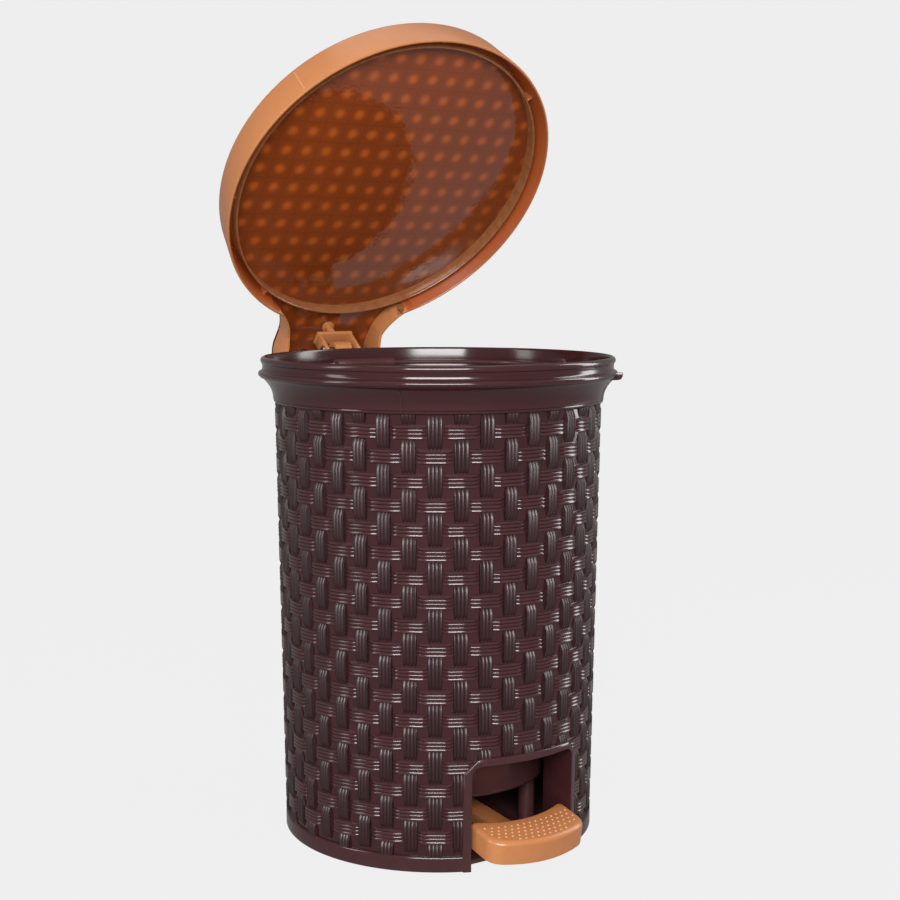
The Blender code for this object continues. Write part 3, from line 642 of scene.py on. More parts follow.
@dataclass(frozen=True)
class Finishes:
    """Every material of the bin."""

    shell: bpy.types.Material
    strands: bpy.types.Material
    uprights: bpy.types.Material
    inner: bpy.types.Material
    tan: bpy.types.Material
    pale: bpy.types.Material
    glow: bpy.types.Material
    ring: bpy.types.Material
    panel: bpy.types.Material
    web: bpy.types.Material
    steel: bpy.types.Material
    natural: bpy.types.Material

    @classmethod
    def build(cls, effects: SharedEffects) -> "Finishes":
        """Mix every finish.

        Args:
            effects: shared node groups.

        Returns:
            The set of materials.
        """
        maroon, deep = (0.036, 0.0090, 0.0105), (0.024, 0.0055, 0.0065)
        tan, brown = (0.425, 0.155, 0.052), (0.365, 0.120, 0.036)
        lit = (0.330, 0.070, 0.010), (0.135, 0.027, 0.006), (0.165, 0.033, 0.007)
        plans = {
            "shell": MouldedPlastic("maroon_gloss", maroon, deep, (0.075, 0.035, 0.036), (0.11, 0.19),
                                    0.000010, 0.3, 0.10, 0.04),
            "strands": MouldedPlastic("maroon_strands", maroon, deep, (0.080, 0.036, 0.038), (0.12, 0.21),
                                      0.000004, 0.7, 0.08, 0.05),
            "uprights": MouldedPlastic("maroon_uprights", maroon, deep, (0.070, 0.030, 0.032), (0.36, 0.46),
                                       0.000015, 0.7, 0.08, 0.05),
            # Paler than the shell's maroon: painted light that makes up for the shade inside the bin.
            "inner": MouldedPlastic("maroon_inner", (0.056, 0.0190, 0.0205), (0.042, 0.0140, 0.0155),
                                    (0.08, 0.04, 0.04), (0.16, 0.26), 0.000010, dust=0.0),
            "tan": MouldedPlastic("caramel_gloss", tan, brown, (0.500, 0.225, 0.095), (0.26, 0.38),
                                  hollow_shading=0.25, dust=0.03, dust_colour=(0.55, 0.35, 0.22)),
            "pale": MouldedPlastic("caramel_pale", (0.54, 0.270, 0.130), (0.50, 0.240, 0.110),
                                   (0.66, 0.42, 0.27), dust=0.0),
            # The lit-through, ring, panel and web finishes give off emission: painted glow for light coming
            # through the caramel plastic.
            "glow": MouldedPlastic("caramel_lit_through", (0.300, 0.062, 0.014), (0.230, 0.042, 0.009),
                                   (0.360, 0.150, 0.062), (0.20, 0.30), hollow_shading=0.3, dust=0.0, glow=0.15),
            "ring": MouldedPlastic("caramel_ring", (0.150, 0.042, 0.012), (0.115, 0.030, 0.009),
                                   (0.300, 0.135, 0.060), (0.14, 0.24), hollow_shading=0.4, reach=0.03, dust=0.0,
                                   glow=0.15),
            "panel": LitPanel("caramel_panel", *lit),
            "web": LitPanel("caramel_web", *lit, glow=0.15),
            "steel": PlainMetal("pin_steel", (0.50, 0.50, 0.49), (0.28, 0.27, 0.26)),
            "natural": MouldedPlastic("natural_plastic", (0.58, 0.56, 0.50), (0.45, 0.43, 0.38),
                                      (0.66, 0.64, 0.60), (0.35, 0.50)),
        }
        return cls(**{key: plan.make(effects) for key, plan in plans.items()})


# ------------------------------------------------------------------ shell
def mean_radius(z: float) -> float:
    """Outermost radius of the woven wall at a height."""
    return FOOT_R + WALL_FLARE * (z - FOOT_H) / (COLLAR_Z - FOOT_H)


@dataclass
class ShellBody:
    """Smooth body of the shell: foot ring, recessed wall, collar, beads and rod channel."""

    finishes: Finishes
    relief: float = 0.0023
    wall: float = 0.0024
    steps: int = 168
    window_half: float = 0.0448
    window_top: float = 0.0775
    window_corner: float = 0.007
    frame_width: float = 0.0055
    frame_proud: float = 0.0010
    frame_chamfer: float = 0.010
    frame_ease: float = 0.0005
    jamb: float = 0.030

    def put(self, name: str, bm: bmesh.types.BMesh, smooth: float = 40.0,
            replaces: Sequence[str] = ()) -> bpy.types.Object:
        """Place a glossy piece on the bin's body."""
        return Piece(name, bm, "bin_body", "shell_plastic", self.finishes.shell, smooth).place(replaces)

    def collar(self) -> list[Point]:
        """Outer profile from the lip under the collar to the rim."""
        h = RIM_H
        flare = [(0.1266 + 0.0079 * t ** 2.1, COLLAR_Z + 0.0022 + 0.0158 * t) for t in
                 (0.0, 0.15, 0.3, 0.45, 0.6, 0.75, 0.88, 1.0)]
        lip = [(mean_radius(COLLAR_Z) - self.relief, COLLAR_Z - 0.0008),
               (mean_radius(COLLAR_Z) - 0.0006, COLLAR_Z - 0.0006), (0.1260, COLLAR_Z + 0.0002),
               (0.1263, COLLAR_Z + 0.0010), (0.1260, COLLAR_Z + 0.0017)]
        bead = [(0.1350, h - 0.0157), (0.1362, h - 0.0154)]
        bead += arc_points((0.1356, h - 0.0129), 0.0022, -70, 75, 9)
        groove = [(0.1352, h - 0.0103), (0.1347, h - 0.0092), (0.1345, h - 0.0075), (0.1347, h - 0.0062)]
        rim = arc_points((0.1332, h - 0.0028), 0.0028, -55, 90, 10)
        return lip + flare + bead + groove + rim

    def build(self) -> None:
        """Build and place the body of the shell."""
        h = RIM_H
        foot = [(0.1170, 0.0), (0.1194, 0.0), (0.1200, 0.0006), (0.1200, FOOT_H - 0.0014),
                (0.1197, FOOT_H - 0.0005), (0.1190, FOOT_H), (mean_radius(FOOT_H) - self.relief, FOOT_H)]
        wall = [(mean_radius(z) - self.relief, z) for z in (0.05, 0.10, 0.15, 0.20, 0.25, 0.30)]
        inner = [(0.1327, h - 0.0006), (0.1324, h - 0.0020), (0.1320, h - 0.0100), (0.1319, h - 0.0160),
                 (0.1300, h - 0.0195), (0.1262, h - 0.0240), (0.1236, COLLAR_Z), (0.1219, COLLAR_Z - 0.006),
                 (0.1166, FOOT_H + 0.001)]
        bm = bmesh.new()
        spin_profile(bm, foot + wall + self.collar() + inner, self.steps, closed=True)
        shell = self.put("shell_body", bm, replaces=["outer_shell"])
        carve(shell, [self.window_cutter(), self.slot_cutter()])
        self.build_frame()
        self.build_channel()
        self.build_trim()

    def opening(self, grow: float = 0.0) -> list[Point]:
        """Outline of the pedal opening from the floor round to the floor, x and z."""
        w, top, r = self.window_half + grow, self.window_top + grow, self.window_corner
        return ([(w, 0.0), (w, 0.020), (w, 0.040), (w, top - r)]
                + arc_points((w - r, top - r), r, 0, 90, 7)[1:]
                + [(0.02, top), (0.0, top), (-0.02, top)]
                + arc_points((-w + r, top - r), r, 90, 180, 7)[:-1]
                + [(-w, top - r), (-w, 0.040), (-w, 0.020), (-w, 0.0)])

    def window_cutter(self) -> bmesh.types.BMesh:
        """Solid that opens the pedal window."""
        bm = bmesh.new()
        outline = [(x, z if z > 0 else -0.01) for x, z in self.opening(0.0004)]
        draw_plate(bm, outline, -0.160, -0.080, Along.Y)
        return bm

    @staticmethod
    def slot_cutter() -> bmesh.types.BMesh:
        """Solid that opens the lever slot at the back."""
        bm = bmesh.new()
        draw_plate(bm, [(-0.0125, 0.0045), (0.0125, 0.0045), (0.0125, 0.046), (-0.0125, 0.046)],
                   0.105, 0.129, Along.Y)
        return bm

    def frame_rim(self) -> list[Point]:
        """Outer outline of the raised frame, matched point by point to the opening."""
        w, top, c = (self.window_half + self.frame_width, self.window_top + self.frame_width,
                     self.frame_chamfer)
        side = [(w, 0.0), (w, 0.020), (w, 0.040), (w, top - c)]
        corner = [(w - c * t, top - c + c * t) for t in (0.05, 0.3, 0.5, 0.7, 0.95, 1.0)]
        left = [(-x, z) for x, z in reversed(side)]
        mirrored = [(-x, z) for x, z in reversed(corner)]
        return side + corner + [(0.02, top), (0.0, top), (-0.02, top)] + mirrored + left

    def build_frame(self) -> None:
        """Raised smooth frame round the pedal opening with a turned-in jamb."""
        bm = bmesh.new()
        inner, outer = self.opening(), self.frame_rim()
        proud, still = self.frame_proud, Vector((0.0, 0.0))
        layers = [(outer, -0.0026), (outer, proud - 0.0005), (outer, proud),
                  (inner, proud), (inner, proud - 0.0006), (inner, -self.jamb)]
        loops = []
        for k, (outline, depth) in enumerate(layers):
            verts = []
            for (x, z), (ix, iz) in zip(outline, inner):
                inward, outward = Vector((ix - x, iz - z)), Vector((x, max(z, 0.02) - 0.02))
                push = {2: inward, 3: outward}.get(k, still).normalized() * self.frame_ease
                px, pz = x + push.x, z + (push.y if z > 1e-6 else 0.0)
                radius = mean_radius(max(pz, FOOT_H)) + depth
                verts.append(bm.verts.new((px, -math.sqrt(radius ** 2 - px ** 2), pz)))
            loops.append([bm.edges.new(p) for p in zip(verts, verts[1:])])
        for a, b in zip(loops, loops[1:]):
            bmesh.ops.bridge_loops(bm, edges=a + b)
        self.put("window_frame", bm, 50)

    def build_channel(self) -> None:
        """Channel walls, hinge cheeks with bosses and the channel floor."""
        y, z = HINGE.y, HINGE.z
        cheek = [(0.1157, 0.0), (0.160, 0.0), (0.160, 0.330), (y + 0.0060, z - 0.0060)]
        cheek += arc_points((y, z), 0.0085, -45, 145, 14)
        cheek += [(y - 0.0190, z - 0.0070), (0.1372, z - 0.0022), (0.1332, RIM_H - 0.0130),
                  (0.1318, RIM_H - 0.0170), (0.1262, COLLAR_Z + 0.006), (0.1211, COLLAR_Z - 0.003)]
        for side, tag in ((-1, "left"), (1, "right")):
            bm = bmesh.new()
            draw_plate(bm, cheek, side * CHANNEL_HALF, side * (CHANNEL_HALF + 0.0030), Along.X)
            round_edges(bm, sharp_edges(bm, 50), 0.0004, 1)
            self.put(f"hinge_cheek_{tag}", bm, 35)
            bm = bmesh.new()
            bmesh.ops.create_cone(bm, cap_ends=True, segments=40, radius1=0.0075, radius2=0.0072,
                                  depth=0.0165, matrix=Matrix.Translation((side * 0.03175, y, z))
                                  @ Matrix.Rotation(math.radians(90 * side), 4, "Y"))
            round_edges(bm, sharp_edges(bm, 50), 0.0006)
            carve(self.put(f"hinge_boss_{tag}", bm), [bore(HINGE, 0.00308, 0.2)])
        bm = bmesh.new()
        draw_plate(bm, [(-0.0206, 0.0), (0.0206, 0.0), (0.0206, 0.003), (-0.0206, 0.003)],
                   0.1175, 0.1595, Along.Y)
        self.put("channel_floor", bm)

    def build_trim(self) -> None:
        """Parting ridges on the collar and the catch lug."""
        for angle, tag in ((-45.0, "front"), (45.0, "right"), (135.0, "back")):
            path = [(r + 0.00022, z) for r, z in self.collar() if z < RIM_H - 0.0112]
            self.put(f"parting_ridge_{tag}", raised_seam(path, 0.28, 0.0006, angle))
        h = RIM_H
        bm = bmesh.new()
        lug = [(0.1330, h - 0.0174), (0.1390, h - 0.0171), (0.1408, h - 0.0164), (0.1419, h - 0.0140),
               (0.1419, h - 0.0114), (0.1330, h - 0.0114)]
        draw_plate(bm, lug, -0.0012, 0.0012, Along.Y)
        round_edges(bm, sharp_edges(bm, 60), 0.0004, 2)
        swing(bm, math.radians(-45.0))
        self.put("catch_lug", bm)


# ------------------------------------------------------------------ weave
class Strand(Enum):
    """Which way a strand runs."""

    ACROSS = "across"
    UPRIGHT = "upright"


@dataclass
class FlatStrand:
    """One float: four ridged cords side by side, arched over a crossing."""

    half_length: float
    width: float
    relief: float
    ridge: float = 0.00085
    cords: int = 4
    tuck: float = 0.0012

    def height(self, along: float) -> float:
        """Height of the crest below the top of the arch.

        Args:
            along: place along the float, -1 to 1.

        Returns:
            A negative height in metres.
        """
        t = abs(along)
        return -self.relief * (0.02 * t + 0.98 * max(0.0, (t - 0.5) / 0.5) ** 1.8)

    def build(self) -> bmesh.types.BMesh:
        """Make the float flat: x along, y across, z up from the crest level.

        Returns:
            A mesh of a few dozen faces.
        """
        bm = bmesh.new()
        rows, cols = 5, self.cords * 3
        bmesh.ops.create_grid(bm, x_segments=rows, y_segments=cols, size=1.0)
        stations = [-1.0, -0.80, -0.52, 0.52, 0.80, 1.0]
        reach = self.half_length + self.tuck
        for v in bm.verts:
            i = round((v.co.x + 1) / 2 * rows)
            j = round((v.co.y + 1) / 2 * cols)
            cord, part = divmod(j, 3)
            across = (cord + (0.0, 0.24, 0.76)[part]) / self.cords * self.width - self.width / 2
            low = -self.ridge if 0 < j < cols else -self.relief * 1.15
            v.co = (stations[i] * reach, across,
                    self.height(stations[i] * reach / self.half_length) + (0.0 if part else low))
        return bm


@dataclass
class WovenWall:
    """Plain weave round the shell."""

    finishes: Finishes
    shell: ShellBody
    columns: int = 42
    rows: int = 18
    pitch: float = WEAVE_PITCH
    first_row: float = 0.3190
    band: float = 0.0105
    column_width: float = math.radians(5.0)

    def wrap(self, bm: bmesh.types.BMesh, way: Strand, radius: float) -> None:
        """Bend a flat float round the axis, facing the pedal side.

        Args:
            bm: flat float.
            way: direction of the strand.
            radius: crest radius.
        """
        for v in bm.verts:
            side, up = (v.co.x, v.co.y) if way is Strand.ACROSS else (v.co.y, v.co.x)
            slope = WALL_FLARE / (COLLAR_Z - FOOT_H) * up
            r, a = radius + slope + v.co.z, side / radius
            v.co = (r * math.sin(a), -r * math.cos(a), up)

    def ring(self, way: Strand, radius: float, odd: bool) -> bpy.types.Mesh:
        """One row of floats over every second column.

        Args:
            way: direction of the strands.
            radius: crest radius.
            odd: whether the odd columns are taken.

        Returns:
            Mesh of the whole row about z = 0.
        """
        step = 2 * math.pi / self.columns
        if way is Strand.ACROSS:
            half = radius * (step - self.column_width / 2)
            bm = FlatStrand(half, self.band, self.shell.relief).build()
        else:
            half = self.pitch - self.band / 2
            bm = FlatStrand(half, radius * self.column_width, self.shell.relief).build()
        self.wrap(bm, way, radius)
        if odd:
            swing(bm, step)
        bmesh.ops.spin(bm, geom=everything(bm), cent=(0, 0, 0), axis=(0, 0, 1),
                       dvec=(0, 0, 0), angle=2 * math.pi * (1 - 2 / self.columns),
                       steps=self.columns // 2 - 1, use_merge=False, use_duplicate=True)
        return to_mesh(bm, "row")

    def trim(self, bm: bmesh.types.BMesh) -> None:
        """Cut the strands at the collar, the foot and under the window frame."""
        def split(point: Sequence[float], normal: Sequence[float], near: Callable[[Vector], bool],
                  drop: bool) -> None:
            """Cut nearby faces by a plane, and drop what lies beyond it if asked."""
            faces = [f for f in bm.faces if near(f.calc_center_median())]
            geom = list({g for f in faces for g in [f, *f.edges, *f.verts]})
            bmesh.ops.bisect_plane(bm, geom=geom, plane_co=point, plane_no=normal, dist=1e-6,
                                   clear_outer=drop, clear_inner=False)

        split((0, 0, COLLAR_Z - 0.0006), (0, 0, 1), lambda c: c.z > COLLAR_Z - 0.02, True)
        split((0, 0, FOOT_H - 0.0006), (0, 0, -1), lambda c: c.z < FOOT_H + 0.02, True)
        s = self.shell
        w, top = s.window_half + s.frame_width / 2, s.window_top + s.frame_width / 2
        cut = s.window_half + s.frame_width + s.window_top + s.frame_width - s.frame_chamfer - 0.0035

        def close(c: Vector) -> bool:
            """Whether a face lies near the window frame."""
            return c.y < 0 and abs(c.x) < w + 0.02 and c.z < top + 0.02

        for point, normal in (((w, 0, 0), (1, 0, 0)), ((-w, 0, 0), (-1, 0, 0)), ((0, 0, top), (0, 0, 1)),
                              ((cut, 0, 0), (1, 0, 1)), ((-cut, 0, 0), (-1, 0, 1))):
            split(point, normal, close, False)
        inside = [f for f in bm.faces if (c := f.calc_center_median()).y < 0 and abs(c.x) < w
                  and c.z < top and abs(c.x) + c.z < cut]
        bmesh.ops.delete(bm, geom=inside, context="FACES")
        behind = [f for f in bm.faces if (c := f.calc_center_median()).y > 0.1 and abs(c.x) < 0.0235]
        bmesh.ops.delete(bm, geom=behind, context="FACES")

    def build(self) -> None:
        """Build both directions of the weave."""
        for way in Strand:
            bm = bmesh.new()
            extra = 1 if way is Strand.UPRIGHT else 0
            for row in range(1 - extra, self.rows + 1 + extra):
                z = self.first_row - (row - 1) * self.pitch
                lifted = row % 2 == 0
                odd = lifted if way is Strand.UPRIGHT else not lifted
                mesh = self.ring(way, mean_radius(z), odd)
                mesh.transform(Matrix.Translation((0, 0, z)))
                add_mesh(bm, mesh)
            self.trim(bm)
            finish = self.finishes.strands if way is Strand.ACROSS else self.finishes.uprights
            Piece(f"weave_{way.value}", bm, "bin_body", "shell_plastic", finish, 72, flip_check=False).place()


# ------------------------------------------------------------------ lid
def opened(bm: bmesh.types.BMesh) -> bmesh.types.BMesh:
    """Swing closed-lid geometry to the rest pose about the hinge."""
    bmesh.ops.rotate(bm, verts=bm.verts, cent=HINGE, matrix=Matrix.Rotation(-LID_OPEN, 3, "X"))
    return bm


@dataclass
class Lid:
    """Lid rim, recessed translucent panel, woven top, hinge tail and clevis bracket."""

    finishes: Finishes
    top: float = RIM_H + 0.023
    roof: float = RIM_H + 0.020
    panel_top: float = RIM_H + 0.0086
    under: float = RIM_H + 0.0062
    recess_r: float = 0.1278
    border_r: float = 0.1245
    skirt_r: float = 0.1394
    top_r: float = 0.1335
    low: float = RIM_H - 0.0098
    rib_r: float = 0.1300
    rib_low: float = RIM_H - 0.0035
    relief: float = 0.0014
    tail_half: float = 0.046
    tail_wall: float = 0.0026
    steps: int = 144
    pitch: float = WEAVE_PITCH

    def put(self, name: str, bm: bmesh.types.BMesh, material: Optional[bpy.types.Material] = None,
            smooth: float = 40.0, replaces: Sequence[str] = (), flip_check: bool = True) -> bpy.types.Object:
        """Open a lid piece and place it on the lid body.

        Args:
            name: piece name.
            bm: closed-lid mesh.
            material: finish, caramel by default.
            smooth: angle above which edges stay sharp.
            replaces: CAD nodes this piece stands for.
            flip_check: whether normals are recalculated.

        Returns:
            The placed object.
        """
        finish = material or self.finishes.tan
        return Piece(name, opened(bm), "lid", "lid_plastic", finish, smooth, flip_check).place(replaces)

    def build(self) -> None:
        """Build every piece of the lid."""
        self.build_cap()
        self.build_panel()
        self.build_weave()
        self.build_gussets()
        self.build_parting_line()
        self.build_tail()
        self.build_bracket()

    def seam(self) -> list[Point]:
        """Line inside the wall where the glossy cap meets the channel behind it."""
        return [(self.skirt_r - 0.0012, self.low), (self.top_r + 0.0002, self.roof + 0.0004),
                (self.rib_r - 0.0012, self.roof + 0.0004), (self.rib_r - 0.0012, self.under + 0.0006)]

    def build_cap(self) -> None:
        """Outer cap with the recess, and the channel and locating ring behind it."""
        t, u, r = self.top, self.under, self.recess_r
        cap = [(self.border_r, u + 0.0006), (self.border_r, self.panel_top), (r - 0.0015, self.panel_top),
               (r - 0.0004, self.panel_top + 0.0004), (r, self.panel_top + 0.0015), (r, t - 0.0018),
               (r + 0.0005, t - 0.0006), (r + 0.0016, t)]
        cap += arc_points((self.top_r - 0.0019, t - 0.0036), 0.0036, 90, 10, 9)
        cap += [(self.skirt_r - 0.0001, self.low + 0.0016), (self.skirt_r - 0.0003, self.low + 0.0003),
                (self.skirt_r - 0.0008, self.low)]
        bm = bmesh.new()
        spin_profile(bm, cap + self.seam(), self.steps, closed=True)
        outer = self.put("lid_cap", bm, replaces=["lid_shell"])
        rib, low = self.rib_r, self.rib_low
        channel = [(rib - 0.0004, u + 0.0006), (rib, u + 0.0002), (rib, self.roof - 0.0013),
                   (rib + 0.0008, self.roof - 0.0005), (self.top_r - 0.0021, self.roof - 0.0005),
                   (self.top_r - 0.0010, self.roof - 0.0020), (self.skirt_r - 0.0022, self.low + 0.0006),
                   (self.skirt_r - 0.0018, self.low)]
        bm = bmesh.new()
        spin_profile(bm, self.seam() + channel, self.steps, closed=True)
        inner = self.put("lid_channel", bm, self.finishes.glow)
        ring = [(rib - 0.0018, u + 0.0006), (rib - 0.0018, low + 0.0006), (rib - 0.0014, low + 0.0001),
                (rib - 0.0009, low), (rib - 0.0004, low + 0.0001), (rib, low + 0.0006), (rib, u + 0.0006)]
        bm = bmesh.new()
        spin_profile(bm, ring, self.steps, closed=True)
        self.put("locating_ring", bm, self.finishes.ring)
        for obj in (outer, inner):
            carve(obj, [opened(self.tail_gap())])

    @staticmethod
    def bow(half: float, radius: float) -> list[Point]:
        """Arc of a circle round the lid's middle, from side to side behind it."""
        return [(half * (s / 8), math.sqrt(radius ** 2 - (half * s / 8) ** 2)) for s in range(-8, 9)]

    def tail_gap(self) -> bmesh.types.BMesh:
        """Solid that opens the skirt into the hollow tail."""
        side = self.tail_plan(self.tail_wall)[:-1]
        outline = self.bow(0.0563, 0.1312) + side + [(-x, y) for x, y in reversed(side)]
        bm = bmesh.new()
        draw_plate(bm, outline, self.low - 0.01, self.under + 0.0002, Along.Z)
        return bm

    def build_panel(self) -> None:
        """Thin translucent panel that closes the underside."""
        bm = bmesh.new()
        r, u = self.rib_r - 0.0019, self.under
        profile = [(0.0, u), (r - 0.0006, u), (r, u + 0.0003), (r, u + 0.0009), (0.0, u + 0.0009)]
        spin_profile(bm, profile, self.steps)
        self.put("lid_panel", bm, self.finishes.panel)

    def build_weave(self) -> None:
        """Basket weave on the top face, trimmed at the smooth border."""
        limit = self.border_r + 0.0004
        count = int(limit / self.pitch) + 2
        for way in Strand:
            bm = bmesh.new()
            flat = FlatStrand(self.pitch - 0.0052, 0.0104, self.relief, 0.0006).build()
            for v in flat.verts:
                v.co.z = max(v.co.z, -0.0017)
            if way is Strand.UPRIGHT:
                swing(flat, math.pi / 2)
            template = to_mesh(flat, "float")
            for i, j in product(range(-count, count + 1), repeat=2):
                x, y = i * self.pitch, j * self.pitch
                if ((i + j) % 2 == 0) != (way is Strand.ACROSS) or math.hypot(x, y) > limit + 0.012:
                    continue
                part = template.copy()
                part.transform(Matrix.Translation((x, y, self.panel_top - 0.0001)))
                if math.hypot(x, y) > limit - 0.018:
                    edge = bmesh.new()
                    edge.from_mesh(part)
                    out = Vector((x, y, 0)).normalized()
                    bmesh.ops.bisect_plane(edge, geom=everything(edge), plane_co=out * limit, plane_no=out,
                                           dist=1e-6, clear_outer=True)
                    edge.to_mesh(part)
                    edge.free()
                add_mesh(bm, part)
            bpy.data.meshes.remove(template)
            self.put(f"lid_weave_{way.value}", bm, smooth=72, flip_check=False)

    def build_gussets(self) -> None:
        """Seven small gussets between the locating ring and the skirt."""
        near, low = self.rib_r - 0.0009, RIM_H + 0.0015
        outline = [(near, low), (self.skirt_r - 0.0030, low), (self.top_r - 0.0004, self.roof + 0.0002),
                   (near, self.roof + 0.0002)]
        bm = bmesh.new()
        for angle in (0.0, 48.7, 97.3, 146.0, -48.7, -97.3, -146.0):
            one = bmesh.new()
            draw_plate(one, outline, -0.0008, 0.0008, Along.Y)
            round_edges(one, sharp_edges(one, 60), 0.0003, 1)
            swing(one, math.radians(angle - 90.0))
            add_mesh(bm, to_mesh(one, "gusset"))
        self.put("lid_gussets", bm, self.finishes.glow)

    def build_parting_line(self) -> None:
        """Hair-thin raised line across the skirt."""
        r0, r1 = self.top_r + 0.0020, self.skirt_r - 0.0004
        z0, z1 = self.top - 0.0050, self.low + 0.0030
        path = [(r0 + (r1 - r0) * i / 8 + 0.00012, z0 + (z1 - z0) * i / 8) for i in range(9)]
        bm = raised_seam(path, 0.22, 0.0004, -51.0)
        self.put("lid_parting_line", bm, self.finishes.pale)

    def tail_plan(self, inset: float) -> list[Point]:
        """Right side of the tail's plan from the skirt to the hinge."""
        side = [(0.0675, 0.1185), (0.0631, 0.1222), (0.0590, 0.1262), (0.0555, 0.1303), (0.0525, 0.1348),
                (0.0497, 0.1398), (0.0477, 0.1450), (0.0464, 0.1503), (self.tail_half, 0.1560),
                (self.tail_half, 0.1700)]
        return [(x - inset, y) for x, y in side]

    def roll(self) -> list[Point]:
        """Side line of the top plate from its flat part down behind the hinge."""
        y, t = HINGE.y, self.panel_top
        return [(y - 0.0040, t), (y - 0.0010, t - 0.0006), (y + 0.0015, t - 0.0014),
                (y + 0.0040, t - 0.0027), (y + 0.0070, t - 0.0050), (y + 0.0095, t - 0.0080),
                (y + 0.0110, t - 0.0110), (y + 0.0118, t - 0.0145), (y + 0.0118, HINGE.z + 0.0020)]

    def tail_sheet(self, depth: float, thickness: float) -> bmesh.types.BMesh:
        """One layer of the tail's top plate, flat and then rolled down behind the hinge.

        Args:
            depth: how far the layer lies under the outer face.
            thickness: thickness of the layer.

        Returns:
            The closed-lid mesh.
        """
        plan = self.tail_plan(0.0)
        outline = self.bow(0.0560, 0.1290) + plan + [(-x, y) for x, y in reversed(plan)]
        bm = bmesh.new()
        bm.faces.new([bm.verts.new((x, y, self.panel_top - 0.0001)) for x, y in outline])
        last = [e for e in bm.edges if all(abs(v.co.y - plan[-1][1]) < 1e-6 for v in e.verts)]
        for (y0, z0), (y1, z1) in zip(self.roll(), self.roll()[1:]):
            out = bmesh.ops.extrude_edge_only(bm, edges=last)
            moved = [g for g in out["geom"] if isinstance(g, bmesh.types.BMVert)]
            bmesh.ops.translate(bm, verts=moved, vec=(0.0, y1 - y0, z1 - z0))
            last = [g for g in out["geom"] if isinstance(g, bmesh.types.BMEdge)]
        bmesh.ops.recalc_face_normals(bm, faces=bm.faces)
        if sum(f.normal.z for f in bm.faces) < 0:
            bmesh.ops.reverse_faces(bm, faces=bm.faces[:])
        bm.normal_update()
        for v, shift in [(v, v.normal * -depth) for v in bm.verts]:
            v.co += shift
        bmesh.ops.solidify(bm, geom=bm.faces[:], thickness=thickness)
        return bm

    def build_tail(self) -> None:
        """Hinge tail: top plate rolled over the hinge and two side flanges."""
        plan = self.tail_plan(0.0)
        self.put("tail_plate", self.tail_sheet(0.0, 0.0012))
        self.put("tail_lining", self.tail_sheet(0.0012, 0.0010), self.finishes.web)
        for side, tag in ((-1, "left"), (1, "right")):
            bm = bmesh.new()
            profile = [(plan[1][1], self.low), (0.1360, self.low), (0.1500, self.low)]
            profile += arc_points((HINGE.y, HINGE.z), 0.0117, 220, 360, 18)
            profile += [(y - 0.0001, z) for y, z in reversed(self.roll()[:-1])]
            profile += [(y, self.panel_top) for _, y in reversed(plan[1:-1])]
            draw_plate(bm, profile, self.tail_half * side, (self.tail_half - self.tail_wall) * side,
                       Along.X)
            round_edges(bm, sharp_edges(bm, 60), 0.0005, 2)
            bmesh.ops.triangulate(bm, faces=[f for f in bm.faces if len(f.verts) > 4])
            for _, place in plan[1:]:
                bmesh.ops.bisect_plane(bm, geom=everything(bm), plane_co=(0, place, 0), plane_no=(0, 1, 0),
                                       dist=1e-6)
            for v in bm.verts:
                v.co.x += side * self.flare(v.co.y)
            flange = self.put(f"tail_flange_{tag}", bm, smooth=50)
            carve(flange, [bore(HINGE, HINGE_BORE, 0.2)])

    def flare(self, y: float) -> float:
        """How far the flange swings out at a place along the tail."""
        plan = self.tail_plan(0.0)
        for (x0, y0), (x1, y1) in zip(plan, plan[1:]):
            if y <= y1:
                return x0 + (x1 - x0) * max(0.0, (y - y0)) / (y1 - y0) - self.tail_half
        return 0.0

    def build_bracket(self) -> None:
        """Bracket under the tail: a bar on a stem, with two ears for the clevis pin."""
        y = HINGE.y - CLEVIS_REACH * math.cos(CLEVIS_DROP)
        z = HINGE.z + CLEVIS_REACH * math.sin(CLEVIS_DROP)
        bar = z + 0.0150
        ear = [(y + 0.0055, bar + 0.0010), (y - 0.0055, bar + 0.0010)]
        ear += arc_points((y, z), 0.0055, 180, 360, 16)
        for side, tag in ((-1, "left"), (1, "right")):
            bm = bmesh.new()
            draw_plate(bm, ear, side * 0.0135, side * 0.0165, Along.X)
            round_edges(bm, sharp_edges(bm, 50), 0.0004, 2)
            obj = self.put(f"clevis_ear_{tag}", bm)
            carve(obj, [opened(bore((0, y, z), CLEVIS_BORE, 0.06, 28))])
        bm = bmesh.new()
        beam = [(y - 0.0060, bar), (y + 0.0060, bar), (y + 0.0060, bar + 0.0030), (y - 0.0060, bar + 0.0030)]
        draw_plate(bm, beam, -0.0169, 0.0169, Along.X)
        round_edges(bm, sharp_edges(bm, 50), 0.0006, 3)
        self.put("clevis_bar", bm)
        stem = [(0.0, bar + 0.0010), (0.0034, bar + 0.0010), (0.0034, self.under - 0.0022),
                (0.0040, self.under - 0.0018), (0.0054, self.under - 0.0015), (0.0054, self.under + 0.0006),
                (0.0, self.under + 0.0006)]
        bm = bmesh.new()
        spin_profile(bm, stem, 32)
        bmesh.ops.translate(bm, verts=bm.verts, vec=(0.0, y - 0.0015, 0.0))
        self.put("clevis_stem", bm)


